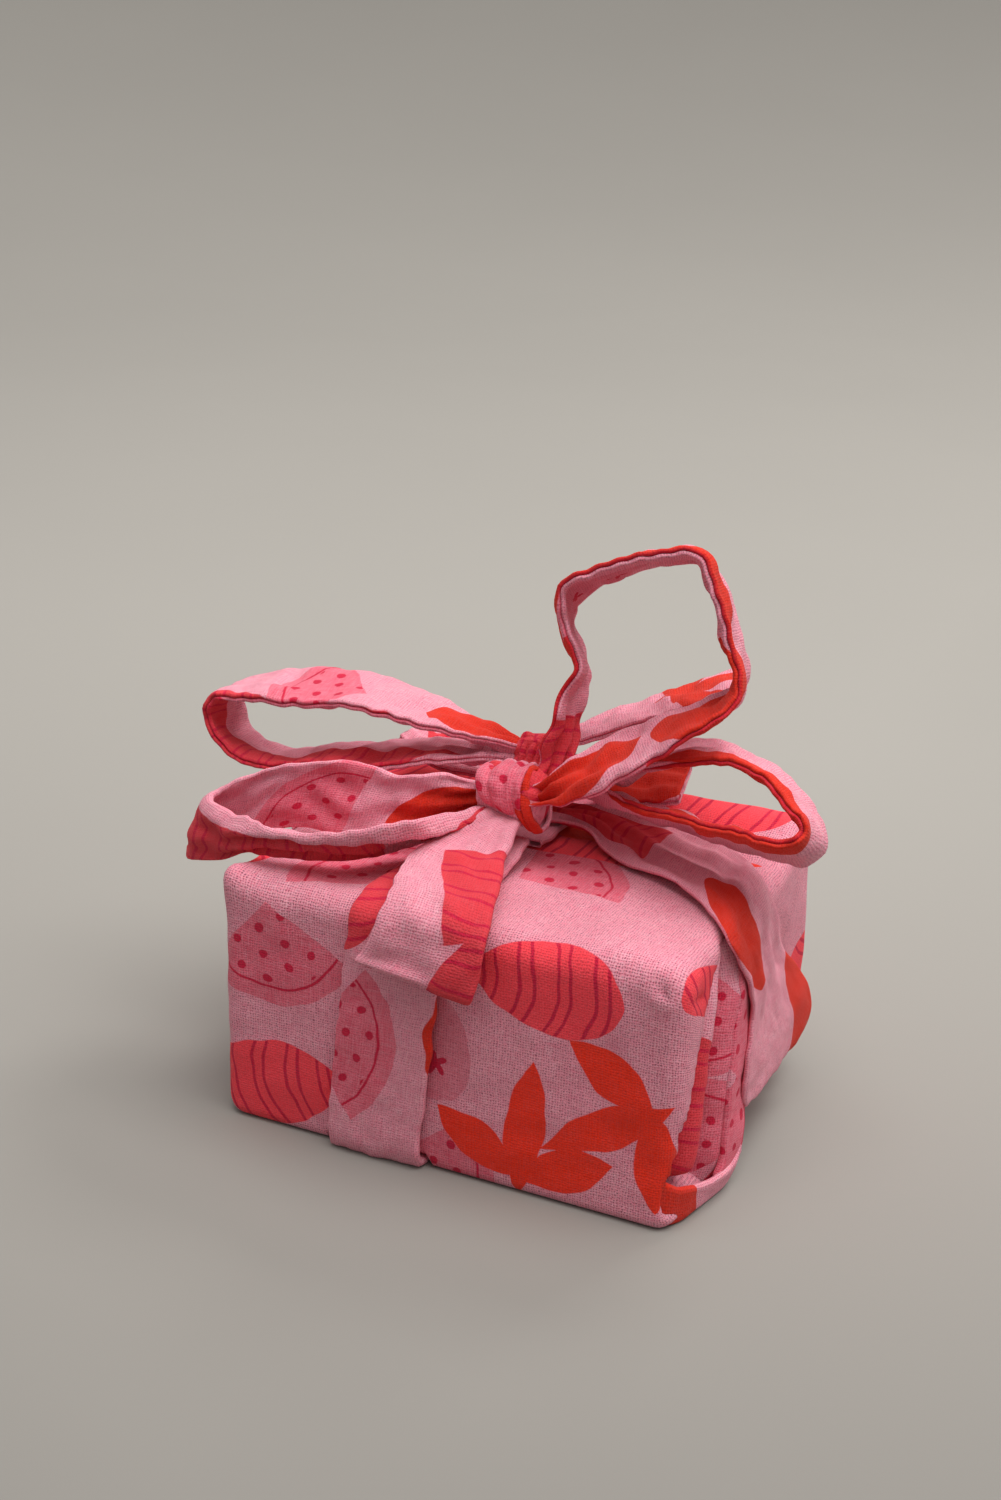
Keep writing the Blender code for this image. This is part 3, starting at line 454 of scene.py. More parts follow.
def strip(rows, section, width, seed, lay):
    """A strip of cloth carried along its rows: (points, uv), each stations by section points.

    A point is near edge + share across + height along the normal. To the height are added gathers, which are
    waves across that grow as the strip narrows, slow buckles, and a small unevenness of each layer; both
    edges wander. At its end, over its near half, the layers may part and the upper one be short.
    """
    lay = {**LAY, **lay}
    at, near, far = even_stations(rows, STRIP_STEP)
    across = far - near
    wide = np.linalg.norm(across, axis=1)[:, None]
    middle = (near + far) / 2
    normal = unit(np.cross(np.gradient(middle, axis=0), across))
    share = section[:, 0][None, :] / width
    height = section[:, 1][None, :]
    along = at[:, None]
    drawn = np.clip(1.0 - wide / width, 0.0, 1.0)
    inside = smoothstep(share, 0.0, RIM_SHARE) * smoothstep(1.0 - share, 0.0, RIM_SHARE)
    fold = np.sin(TURN * (lay["gathers"] * share + DRIFT_SHARE * waves(along, 0.0, DRIFT, seed + 5)) + seed)
    lift = lay["gather"] * drawn * fold
    flatter = EDGE_BUCKLE + (1.0 - EDGE_BUCKLE) * inside
    lift = lift + lay["buckle"] * waves(along, share * width, BUCKLE, seed) * flatter
    lift = lift + lay["crinkle"] * waves(along, share * width, CRINKLE, seed + 1)
    puff = np.sign(height) * inside * lay["puff"] * (PUFFED + waves(along, share * width, PUFF, seed + 2))
    lip = 1.0 - smoothstep(share, 0.0, CURL_SHARE)
    curl = lay["curl"] * lip**2 * (1.0 + CURL_CHANGE * waves(along, 0.0, CURL, seed + 6))
    near_edge, far_edge = waves(along, 0.0, NEAR_EDGE, seed + 3), waves(along, 0.0, FAR_EDGE, seed + 4)
    edge = lay["wander"] * (near_edge * (1.0 - share) + far_edge * share)
    ends = smoothstep(along, 0.0, START_LENGTH) * smoothstep(at[-1] - along, 0.0, lay["fade_end"])
    open_end = smoothstep(along, at[-1] - OPEN_LENGTH, at[-1]) * (1.0 - smoothstep(share, *OPEN_ACROSS))
    thick = THINNEST + (1.0 - THINNEST) * np.minimum(wide / width, 1.0) + lay["mouth"] * open_end
    rise = height * thick + ends * (lift + puff) + curl
    place = (share * wide + edge * ends)[..., None]
    points = near[:, None] + unit(across)[:, None] * place + normal[:, None] * rise[..., None]
    short = lay["short"] * open_end * (height > 0)
    points -= unit(np.gradient(middle, axis=0))[:, None] * short[..., None]
    points[..., 2] = np.maximum(points[..., 2], BASE_CLEARANCE)
    run = run_length(section)[None, :]
    return points, together(run, along)


def grid_faces(rows, columns, closed_rows=False, closed_columns=False):
    """(corner indices, uv indices) of a grid's quads; a closed side goes back to its start with fresh uv."""
    i, j = np.meshgrid(
        np.arange(rows if closed_rows else rows - 1),
        np.arange(columns if closed_columns else columns - 1),
        indexing="ij",
    )
    corners = [(i, j), (i, j + 1), (i + 1, j + 1), (i + 1, j)]
    wrapped = [(a % rows) * columns + b % columns for a, b in corners]
    wide = columns + 1 if closed_columns else columns
    fresh = [a * wide + b for a, b in corners]
    return together(*wrapped).reshape(-1, 4), together(*fresh).reshape(-1, 4)


def link(name, data):
    """A new object in the scene."""
    made = bpy.data.objects.new(name, data)
    bpy.context.scene.collection.objects.link(made)
    return made


POLE_REACH = 0.001


def close_poles(mesh):
    """Merges the points that lie on one another, where a grid runs together at a pole."""
    whole = bmesh.new()
    whole.from_mesh(mesh)
    bmesh.ops.remove_doubles(whole, verts=whole.verts, dist=POLE_REACH * MM)
    whole.to_mesh(mesh)
    whole.free()


class Cloth:
    """Grids of one piece of cloth, gathered before they become one mesh."""

    def __init__(self, name):
        self.name = name
        self.points, self.faces, self.uvs, self.prints = [], [], [], []
        self.count = 0

    def add(self, points, uv, place=(0.0, 0.0), laid=0, closed_rows=False, closed_columns=False, flip=False):
        """Takes a grid; place moves it on the printed cloth, and laid is which of the prints it has."""
        rows, columns = points.shape[:2]
        corners, fresh = grid_faces(rows, columns, closed_rows, closed_columns)
        if flip:
            corners, fresh = corners[:, ::-1], fresh[:, ::-1]
        self.points.append(points.reshape(-1, 3))
        self.faces.append(corners + self.count)
        self.uvs.append((uv.reshape(-1, 2) + place)[fresh].reshape(-1, 2))
        self.prints.append(np.full(len(corners), laid, np.int32))
        self.count += rows * columns

    def build(self, materials, thickness):
        """One mesh object from the grids, thickened about its middle, riding on the root body."""
        points, uvs = np.concatenate(self.points) * MM, np.concatenate(self.uvs) * MM
        faces = np.concatenate(self.faces)
        mesh = bpy.data.meshes.new(self.name)
        mesh.vertices.add(len(points))
        mesh.vertices.foreach_set("co", points.astype(np.float32).ravel())
        mesh.loops.add(faces.size)
        mesh.loops.foreach_set("vertex_index", faces.astype(np.int32).ravel())
        mesh.polygons.add(len(faces))
        mesh.polygons.foreach_set("loop_start", np.arange(0, faces.size, 4, dtype=np.int32))
        mesh.update(calc_edges=True)
        layer = mesh.uv_layers.new(name="cloth")
        layer.data.foreach_set("uv", uvs.astype(np.float32).ravel())
        for material in materials:
            mesh.materials.append(material)
        mesh.polygons.foreach_set("material_index", np.concatenate(self.prints))
        close_poles(mesh)
        mesh.shade_smooth()
        made = link(self.name, mesh)
        wall = made.modifiers.new("cloth", "SOLIDIFY")
        wall.thickness = thickness * MM
        wall.offset = 0.0
        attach(made, "root")
        return made


def rounded_rectangle(width, height, radii, points):
    """(y, z) round a rounded rectangle, equally many on each side and corner whatever its size.

    A corner is a quarter circle of its radius, and they go round from the top back one; the sides between
    are straight, with points[0] on the top and base and points[1] on the front and back.
    """
    turn = np.linspace(0.0, np.pi / 2, CORNER_POINTS)
    corners = []
    for quarter, (radius, sign) in enumerate(zip(radii, ((1, 1), (-1, 1), (-1, -1), (1, -1)))):
        angle = turn + quarter * np.pi / 2
        bend = together(np.cos(angle), np.sin(angle)) * radius
        reach = np.array([width / 2 - radius, height / 2 - radius])
        corners.append(bend + reach * np.array(sign))
    outline = []
    for quarter, corner in enumerate(corners):
        outline.append(corner)
        outline.append(straight(corner[-1], corners[(quarter + 1) % 4][0], points[quarter % 2]))
    return np.concatenate(outline)


def shell_stations(length, step):
    """(x, inset) of the shell's rings, from one end's slot round its edge and along to the other slot.

    The rings lie closer towards the right end, where the folds are.
    """
    half = length / 2
    turn = np.linspace(0.0, np.pi / 2, CORNER_POINTS)
    edge = together(half - END_RADIUS * (1 - np.sin(turn)), END_RADIUS * (1 - np.cos(turn)))
    ends = []
    for share in (LEFT_END_STEP, RIGHT_END_STEP):
        insets = np.arange(END_RADIUS + share * step, END_SLOT, share * step)
        ends.append(np.concatenate([edge, together(half, insets)]))
    left, right = ends
    turns = half - END_RADIUS
    coarse = straight((-turns, 0.0), (FINE_FROM, 0.0), int((FINE_FROM + turns) / step / COARSE_STEP))
    fine = straight((FINE_FROM, 0.0), (turns, 0.0), int((turns - FINE_FROM) / step / FINE_STEP))
    return np.concatenate([left[::-1] * (-1.0, 1.0), coarse, [(FINE_FROM, 0.0)], fine, right])


def shape_shell(points, length, depth, height):
    """Moves the plain rounded box to the form of the folded cloth.

    The walls bulge by a cosine along the parcel, the top has a low crown and slow waves, a ridge of folded
    layers stands along the back of the top, and each end is drawn in at its foot. The right end is also
    drawn in behind the fold at its front corner, where its pleats stand. The top corners are pulled out.
    """
    x, y, z = (points[..., k].copy() for k in range(3))
    belly = np.cos(np.pi * x / length / BELLY_SPREAD)
    y += np.sign(y) * smoothstep(np.abs(y), *WALL_Y) * WALL_BELLY * belly * np.sin(np.pi * z / height)
    crown = TOP_CROWN * belly * np.cos(np.pi * y / depth / CROWN_SPREAD)
    slow = TOP_SAG * np.sin(x / SAG_PACE[0] + SAG_START) * np.cos(y / SAG_PACE[1])
    free = smoothstep(np.abs(x - KNOTS_X), *SAG_FROM_KNOTS)
    z += smoothstep(z, height - TOP_EDGE, height) * (crown + slow * free)
    z += RIDGE_HEIGHT * smoothstep(y, *RIDGE_Y) * smoothstep(x, *RIDGE_X) * smoothstep(z, *RIDGE_Z)
    foot = 1.0 - smoothstep(z, 0.0, TUCK_HEIGHT)
    end = smoothstep(np.abs(x), *TUCK_X)
    x -= np.sign(x) * TUCK_DEPTH * foot * smoothstep(y, *TUCK_Y) * end
    fold = np.interp(z, *zip(*CORNER_FOLD))
    drawn_in = smoothstep(y, fold, fold + FOLD_STEP) * (1.0 - smoothstep(y, *FOLD_BACK))
    drawn_in *= smoothstep(z, *FOLD_FOOT) * (1.0 - smoothstep(z, *FOLD_TOP)) * smoothstep(x, *FOLD_X)
    x -= FOLD_DEPTH * drawn_in
    for corner in SHARP_CORNERS:
        away = np.linalg.norm(together(x, y, z) - corner, axis=-1)
        near = np.exp(-((away / CORNER_REACH) ** 2))
        x, y, z = (
            value + np.sign(side) * pull * near for value, side, pull in zip((x, y, z), corner, CORNER_PULL)
        )
    on_base = 1.0 - smoothstep(z, 0.0, CHANNEL_FADE)
    channel = 1.0 - smoothstep(np.abs(x - BAND_FOOT_X), *CHANNEL_X)
    z += BAND_CHANNEL * on_base * channel
    return together(x, y, z)


def grid_normals(points):
    """Unit normals of a grid whose columns close on themselves: the cross of its two differences."""
    across = np.roll(points, -1, axis=1) - np.roll(points, 1, axis=1)
    along = np.gradient(points, axis=0)
    return unit(np.cross(across, along))


def press_creases(points, normals, creases):
    """Presses each crease in: a trough along its line, a bell across it, that fades out at both ends."""
    for row in creases:
        start, end, (depth, width) = np.array(row[:3]), np.array(row[3:6]), row[6:]
        axis = end - start
        t = np.clip((points - start) @ axis / (axis @ axis), 0.0, 1.0)
        away = np.linalg.norm(points - start - t[..., None] * axis, axis=-1)
        fade = smoothstep(t, *CREASE_START) * smoothstep(1.0 - t, *CREASE_END)
        points = points - normals * (depth * fade * np.exp(-((away / width) ** 2)))[..., None]
    return points


def shell_grid(sizes):
    """The cloth round the parcel, as (points, uv): rounded rectangles carried along X, then shaped."""
    length, depth, height = sizes.length / MM, sizes.depth / MM, sizes.height / MM
    step = sizes.fineness / MM
    stations = shell_stations(length, step)
    counts = (int(depth / step), int(height / step))
    rings = []
    for x, inset in stations:
        radii = [max(radius - END_SHRINK * inset, SMALLEST_RADIUS) for radius in CORNER_RADII]
        y, z = rounded_rectangle(depth - 2 * inset, height - 2 * inset, radii, counts).T
        rings.append(together(x, y, z + height / 2))
    plain = np.stack(rings)
    round_it = plain[len(plain) // 2, :, 1:]
    u = run_length(np.concatenate([round_it, round_it[:1]]))
    v = run_length(stations)
    uv = together(u[None, :], v[:, None])
    points = shape_shell(plain, length, depth, height)
    normals = grid_normals(points)
    uneven = sum(share * waves_at(points, size, seed) for size, share, seed in SHELL_WAVES)
    uneven = sizes.wrinkle / MM * uneven
    free = smoothstep(points[..., 2], *WAVES_FROM_BASE)
    points = points + normals * (uneven * free)[..., None]
    points = press_creases(points, normals, CREASES)
    points[..., 2] = np.maximum(points[..., 2], BASE_CLEARANCE)
    return points, uv


KNOT_RINGS, KNOT_COLUMNS = 41, 96
RIDGES = ((7, 1.8, 1.0), (13, -2.0, 0.5))  # how many lie round a knot, how far they turn, and their share
PASS_RINGS, PASS_HEM, PASS_COLUMNS = 120, 1.6, 22
GROOVE_WIDTH = 0.07
GROOVE_FADE = 0.9
PASS_SWELL = 0.5
PASS_WAVES = (0.16, 6.0, 5.0)  # how deep, how fast round the knot, how long
MIDDLE_COLUMN = 11


def knot_core(knot):
    """The gathered middle of a bow, as (points, uv): a barrel about X whose radius follows x^8 + r^2 = 1.

    Ridges run along it, as sines of the angle that turn slowly, where the passes of cloth lie together.
    """
    radii = np.array(knot["radii"])
    rise = np.linspace(-np.pi / 2, np.pi / 2, KNOT_RINGS)[:, None]
    angle = np.linspace(0.0, TURN, KNOT_COLUMNS, endpoint=False)[None, :]
    share = np.sign(rise) * np.abs(np.sin(rise)) ** 0.25
    ridges = sum(part * np.sin(count * angle + turn * share) for count, turn, part in RIDGES)
    radius = np.cos(rise) * (1.0 + knot["ruffle"] * ridges)
    unit_points = together(share, radius * np.cos(angle), radius * np.sin(angle))
    u = np.linspace(0.0, TURN * radii[2], KNOT_COLUMNS + 1)[None, :]
    v = (share + 1.0) * radii[0]
    return np.array(knot["centre"]) + radii * unit_points, together(u, v)


def knot_pass(lap):
    """One pass of the tie round a knot, as (points, uv): a hemmed section carried round an ellipse about X.

    Its front is flattened by a power of the cosine, it narrows towards its foot, its height changes across
    it, and soft grooves run round it from the top. It leans, so that its foot lies off its top.
    """
    centre, (deep, tall), band = lap["centre"], lap["radii"], lap["width"]
    section = hemmed_section(band, PASS_HEM, PASS_COLUMNS)
    angle = np.linspace(0.0, TURN, PASS_RINGS, endpoint=False)[:, None]
    share = section[:, 0][None, :] / band - 0.5
    up = np.sin(angle)
    waist = 1.0 - lap["narrow"] * smoothstep(-up, -0.9, 0.9)
    x = centre[0] + band * share * waist - lap["lean"] * up
    grooves = sum(
        depth * np.exp(-(((share - at) / GROOVE_WIDTH) ** 2)) * smoothstep(up, end, end + GROOVE_FADE)
        for at, depth, end in lap["grooves"]
    )
    uneven, pace, size = PASS_WAVES
    swell = PASS_SWELL * np.cos(np.pi * share) + uneven * waves(angle * pace, share * band, size, lap["seed"])
    reach = section[:, 1][None, :] + swell - grooves
    flat = np.sign(np.cos(angle)) * np.abs(np.cos(angle)) ** 0.8
    y = centre[1] + (deep + reach) * flat
    z = centre[2] + (tall * (1.0 + lap["spread"] * share) + reach) * up
    points = together(x, y, z)
    u = run_length(section)[None, :]
    v = run_length(np.concatenate([points[:, MIDDLE_COLUMN], points[:1, MIDDLE_COLUMN]]))[:, None]
    return points, together(u, v)


def math_node(operation, reflected=False):
    """A method of Value that adds a Math node; reflected puts the value itself last."""

    def method(value, *others):
        return value.graph.math(operation, *((*others, value) if reflected else (value, *others)))

    return method


class Value:
    """A shader socket that takes Python's arithmetic: each operation adds the Math node that works it out."""

    def __init__(self, graph, socket):
        self.graph, self.socket = graph, socket

    __add__ = __radd__ = math_node("ADD")
    __mul__ = __rmul__ = math_node("MULTIPLY")
    __sub__, __rsub__ = math_node("SUBTRACT"), math_node("SUBTRACT", reflected=True)
    __truediv__, __rtruediv__ = math_node("DIVIDE"), math_node("DIVIDE", reflected=True)
    __pow__, __abs__ = math_node("POWER"), math_node("ABSOLUTE")
    at_least, at_most = math_node("MAXIMUM"), math_node("MINIMUM")
    fraction, floor = math_node("FRACT"), math_node("FLOOR")
    root, sine = math_node("SQRT"), math_node("SINE")

    def held(self):
        """Held between 0 and 1."""
        return self.at_least(0.0).at_most(1.0)

    def inside(self, soft=0.25):
        """1 where a distance in millimetres is below 0, with an edge soft millimetres wide."""
        return (0.5 - self / soft).held()


NOISE_ROUGHNESS = 0.55


class Graph:
    """A new material's node tree."""

    def __init__(self, name):
        self.material = bpy.data.materials.new(name)
        self.material.use_nodes = True
        self.tree = self.material.node_tree
        self.tree.nodes.clear()

    def node(self, kind, settings=None, sockets=None, output=0):
        """A new node: its settings first, then the values or links of its sockets; returns one output."""
        made = self.tree.nodes.new(kind)
        for key, setting in (settings or {}).items():
            setattr(made, key, setting)
        for key, value in (sockets or {}).items():
            if isinstance(value, Value):
                self.tree.links.new(value.socket, made.inputs[key])
            else:
                made.inputs[key].default_value = value
        return Value(self, made.outputs[output]) if made.outputs else None

    def math(self, operation, *values):
        return self.node("ShaderNodeMath", {"operation": operation}, dict(enumerate(values)))

    def vector(self, operation, *values):
        return self.node("ShaderNodeVectorMath", {"operation": operation}, dict(enumerate(values)))

    def scaled(self, vector, by):
        return self.node("ShaderNodeVectorMath", {"operation": "SCALE"}, {0: vector, "Scale": by})

    def parts(self, vector):
        """The x and y of a vector."""
        first = self.node("ShaderNodeSeparateXYZ", {}, {0: vector})
        return first, Value(self, first.socket.node.outputs[1])

    def mix(self, factor, first, second):
        """first where factor is 0, second where it is 1; both are colours."""
        return self.node("ShaderNodeMix", {"data_type": "RGBA"}, {0: factor, 6: first, 7: second}, 2)

    def noise(self, vector, scale, detail, output=0):
        """Noise of a vector in millimetres, about 1/scale millimetres to a lump."""
        sockets = {"Vector": vector, "Scale": scale, "Detail": detail, "Roughness": NOISE_ROUGHNESS}
        return self.node("ShaderNodeTexNoise", {}, sockets, output)

    def surface(self, sockets):
        """A surface shader with these sockets, as what the material shows."""
        shader = self.node("ShaderNodeBsdfPrincipled", {}, sockets)
        self.node("ShaderNodeOutputMaterial", {}, {"Surface": shader})


# Where the motifs lie, as x, y and turn in degrees: on the wrap cloth's print, and on the lengths that the
# ties, straps and pleats were cut from. Painted shade in crimson on their turned-in raw edges, in the groove
# between a tie's lips: the pitch, the middle between two of them, how far from it they start, and the y where
# they end.
WRAP_PRINT = {
    "repeat": 150,
    "leaves": ((38, 80, 88), (72, 24, -75), (24, 4, 140), (24, 116, 140), (113, 88, 90), (118, 22, 70)),
    "shells": ((34, 22, 10), (22, 44, -120), (8, 63, 138), (80, 50, 75), (112, 132, 60)),
    "sprigs": ((78, 76, 175), (58, 102, -60)),
    "pebbles": ((54, 56, 25), (112, 52, 60)),
    "feathers": ((138, 46, 91),),
    "streamers": ((130, 56, 89),),
}
TIE_PRINT = {
    "repeat": 300,
    "leaves": (
        (84.7, 136, 100), (24.5, 211.5, 78), (209, 28, 90), (188, 184, 90), (11, 233, 90), (288, 142, 60),
    ),
    "blocks": ((34, 7, 90), (91, 76, 90), (91, 101.2, 90), (24, 184, 74), (282, 98, 90)),
    "petals": (
        (35, 136, 82), (38, 104, 105), (62.5, 8, 105), (190, 8, 80), (239, 54, 92), (116, 177, 60),
        (272, 54, 86), (298, 21, 70), (96, 223, 0),
    ),
    "shells": (
        (54.5, 31, 45), (194, 36, 98), (203, 62, 0), (38, 222, 94), (38, 264, -90), (50, 231, 0),
        (50, 257, 0), (272, 190, -70),
    ),
    "sprigs": ((66, 179, 80), (222, 190, 60)),
    "pebbles": ((34, 50, 90), (222, 224, 60)),
    "feathers": ((161, 96, 90), (203, 84, 90)),
    "streamers": ((4.5, 76, 90), (107, 62, 90), (147.5, 62, 90)),
    # The painted shade on the turned-in raw edges, in crimson.
    "edges": (52, 50.3, 4.55, 215),
}


HALVES = (0.5, 0.5, 0.5)  # the middle of noise
WOBBLE_PACE, WOBBLE = 0.13, 1.9  # of the motifs' outlines
BAR_PITCH, BAR_PAIR, BAR_WIDTH = 7.5, 2.6, 0.72  # of the double lines across leaves and blocks
FINE_PITCH, FINE_PAIR, FINE_WIDTH = 6.6, 2.2, 0.65  # and across feathers
SHELL_RADIUS, DOTS_REACH, RIM_RADIUS, RIM_HALF = 21.0, 17.0, 17.6, 0.3
DOT_PITCH, DOT_RADIUS = 5.2, 0.95
PALE_INK = 0.5  # how much ink the shells and pebbles carry
LEAF_BEND, BLOCK_BEND = 0.03, 0.02  # of their double lines
OVAL_MARGIN = 0.4
EDGE_SHADE_BLUR = 0.8  # of the painted shade at a raw edge


def motif_place(graph, cloth, repeat, x, y, turn):
    """A motif's own x and y: the cloth's coordinates from its place, brought into one repeat, then turned."""
    half = repeat / 2
    from_it = graph.vector("SUBTRACT", cloth, (x, y, 0.0))
    once = graph.vector("WRAP", from_it, (half, half, 1.0), (-half, -half, -1.0))
    sockets = {"Vector": once, "Angle": -math.radians(turn)}
    return graph.parts(graph.node("ShaderNodeVectorRotate", {"rotation_type": "Z_AXIS"}, sockets))


def gathered(places, outline):
    """(mask, x, y) of several places of one motif: x and y are those of the place that is met."""
    mask = across = along = 0.0
    for x, y in places:
        here = outline(x, y).inside()
        mask = here + mask
        across = here * x + across
        along = here * y + along
    return mask.at_most(1.0), across, along


def paired_lines(value, spacing, apart, wide):
    """Lines two by two: how near the value is to either of a pair in each spacing."""
    middle = ((value / spacing).fraction() - 0.5) * spacing
    return (abs(abs(middle) - apart / 2) - wide / 2).inside()


def dots(x, y, pitch, radius):
    """Round dots in rows, each row half a pitch along from the last."""
    row = (y / pitch).floor()
    shifted = x + (row / 2.0).fraction() * pitch
    across = ((shifted / pitch).fraction() - 0.5) * pitch
    along = ((y / pitch).fraction() - 0.5) * pitch
    return ((across * across + along * along).root() - radius).inside()


def painted_edge_shade(graph, cloth, pitch, middle, half, end):
    """Painted shade: 1 near the raw edges of the lengths, side by side at one pitch, up to where they end."""
    x, y = graph.parts(cloth)
    away = abs(graph.math("WRAP", x - middle, pitch / 2, -pitch / 2))
    return (away - half).inside(EDGE_SHADE_BLUR) * (y - end).inside()


def oval(t, y, wide, power=0.5):
    """A long form, wide millimetres to a side, that ends at t = 1: its edge follows a power of 1 - t^2."""
    return abs(y) + OVAL_MARGIN - (1.0 - t * t).at_least(0.0) ** power * wide


def leaf(x, y, length=15.5, width=9.4, lean=2.0, power=0.6):
    """A pointed oval, wider towards one end."""
    t = x / length
    return oval(t, y, t * lean + width, power)


def feather(x, y, length=40.0, width=6.6, bend=3.0):
    """A long oval whose middle line bends as t^2."""
    t = x / length
    return oval(t, y + t * t * bend, width)


def streamer(x, y, length=46.0, width=4.2, pace=0.11, sway=1.3):
    """A long oval whose middle line is a sine."""
    return oval(x / length, y + (x * pace).sine() * sway, width)


def shell(x, y, out=0.62, along=0.78):
    """A quarter round: near its tip, and between two straight sides."""
    return ((x * x + y * y).root() - SHELL_RADIUS).at_least(abs(y) * out - x * along)


def sprig(x, y, foot=4.0, tip=25.0, width=0.019, side_tip=20.0, side_width=0.044, along=0.45, out=0.89):
    """Three leaves from one foot: each edge a parabola, the side ones mirrored and turned."""
    middle = abs(y) - (x + foot) * (tip - x) * width
    side_x = x * along + abs(y) * out
    side_y = abs(y) * along - x * out
    return middle.at_most(abs(side_y) - side_x * (side_tip - side_x) * side_width)


def pebble(x, y, length=13.0, width=9.0, scale=10.0):
    """An ellipse."""
    return ((x / length) ** 2 + (y / width) ** 2).root() * scale - scale


def block(x, y, length=12.6, width=12.0):
    """A rectangle."""
    return (abs(x) - length).at_least(abs(y) - width)


def flowers(graph, x, y, apart=5.2, petals=5.0, swell=0.8, radius=1.9):
    """Two small flowers: a radius that swells with a sine of so many times the angle."""
    side = abs(x) - apart
    angle = graph.math("ARCTAN2", y, side)
    return ((side * side + y * y).root() - ((angle * petals).sine() * swell + radius)).inside()


def printed(graph, cloth, laid, colours):
    """The print on cloth coordinates in millimetres, as (colour, how much ink): its motifs on a ground."""
    wobble = graph.noise(cloth, WOBBLE_PACE, 1.0, 1)
    drawn = graph.vector("ADD", cloth, graph.scaled(graph.vector("SUBTRACT", wobble, HALVES), WOBBLE))

    def motifs(kind, outline):
        return gathered([motif_place(graph, drawn, laid["repeat"], *row) for row in laid[kind]], outline)

    leaves, leaf_x, leaf_y = motifs("leaves", leaf)
    feathers, feather_x, _ = motifs("feathers", feather)
    shells, shell_x, shell_y = motifs("shells", shell)
    pebbles, pebble_x, pebble_y = motifs("pebbles", pebble)
    orange = motifs("sprigs", sprig)[0].at_least(motifs("streamers", streamer)[0])
    bars = paired_lines(leaf_x + leaf_y * leaf_y * LEAF_BEND, BAR_PITCH, BAR_PAIR, BAR_WIDTH) * leaves
    bars = bars.at_least(paired_lines(feather_x, FINE_PITCH, FINE_PAIR, FINE_WIDTH) * feathers)
    coral = leaves.at_least(feathers)
    if "blocks" in laid:
        blocks, block_x, block_y = motifs("blocks", block)
        bent = block_x + block_y * block_y * BLOCK_BEND
        bars = bars.at_least(paired_lines(bent, BAR_PITCH, BAR_PAIR, BAR_WIDTH) * blocks)
        coral = coral.at_least(blocks)
        orange = orange.at_least(motifs("petals", leaf)[0])

    spots = dots(shell_x, shell_y, DOT_PITCH, DOT_RADIUS)
    reach = (shell_x * shell_x + shell_y * shell_y).root()
    rim = (abs(reach - RIM_RADIUS) - RIM_HALF).inside()
    fine = rim.at_least((reach - DOTS_REACH).inside() * spots) * shells
    fine = fine.at_least(flowers(graph, pebble_x, pebble_y) * pebbles)
    lines = bars.at_least(fine * (1.0 - coral)) * (1.0 - orange)
    # Painted shade: crimson along the ties' turned-in raw edges, in the groove between their lips; it counts
    # as ink.
    if "edges" in laid:
        lines = lines.at_least(painted_edge_shade(graph, cloth, *laid["edges"]))

    colour = colours["ground"]
    layers = (shells, "rose"), (pebbles, "blush"), (coral, "coral"), (orange, "orange"), (lines, "crimson")
    for mask, name in layers:
        colour = graph.mix(mask, colour, colours[name])
    ink = (shells * PALE_INK).at_least(pebbles * PALE_INK).at_least(coral).at_least(orange).at_least(lines)
    return colour, ink


DRIFTS = ((0.35, 1.0, 0.58), (1.5, 0.0, 0.38))  # of the threads: how fast, how detailed and how far
GAP_START, GAP_RISE = 0.3, 2.0  # how far from the middle of a thread, and how fast


def weave(graph, cloth, pitch):
    """(gap, crown) of a plain weave on cloth coordinates in millimetres.

    A gap is where the spaces between threads cross; a crown is the top of a thread, which goes over and under
    by turns, as the product of two sines half a thread apart.
    """
    place = cloth
    for pace, detail, far in DRIFTS:
        shake = graph.scaled(graph.vector("SUBTRACT", graph.noise(cloth, pace, detail, 1), HALVES), far)
        place = graph.vector("ADD", place, shake)
    x, y = graph.parts(place)
    across = abs((x / pitch).fraction() - 0.5) * 2.0
    along = abs((y / pitch).fraction() - 0.5) * 2.0
    gap = ((across - GAP_START) * GAP_RISE).held() * ((along - GAP_START) * GAP_RISE).held()
    turn = ((x / pitch).floor() + (y / pitch).floor()) / 2.0
    over = turn.fraction() * 2.0
    crown = over * (1.0 - across * across) + (1.0 - over) * (1.0 - along * along)
    return gap, crown


CLOTH_LIGHT = {
    "Subsurface Radius": (1.0, 0.22, 0.3),
    "Subsurface Scale": 0.0009,
    "Specular IOR Level": 0.12,
    "Sheen Weight": 0.04,
    "Sheen Roughness": 0.6,
}
SLUBS = ((0.25, 3.0, 1.0), (3.0, 0.25, 1.0))  # how they are drawn out along either thread
WORN_PACE, SPECK_PACE = 0.06, 1.1
CREASE_WAVES = ((0.22, 2.0, 5.2), (0.7, 1.0, 1.3))  # how fast, how detailed and how high
MEAN, MEAN_SLUB = 0.5, 0.45
INK_COVER = 0.92  # how far ink hides the thread tops
PALE_CROWN, PALE_SLUB, PALE_WORN = 0.32, 1.8, 0.3  # how much each adds to the pale of the tops
DARK_GAP, DARK_SPECK, DARK_INKED = 0.7, 3.2, 0.3  # and to the painted shade in the gaps
HIGH_CROWN, HIGH_SLUB = 0.8, 0.5
ROUGH, ROUGH_GAP = 0.84, 0.12
BUMP_HEIGHT = 0.00012  # in metres


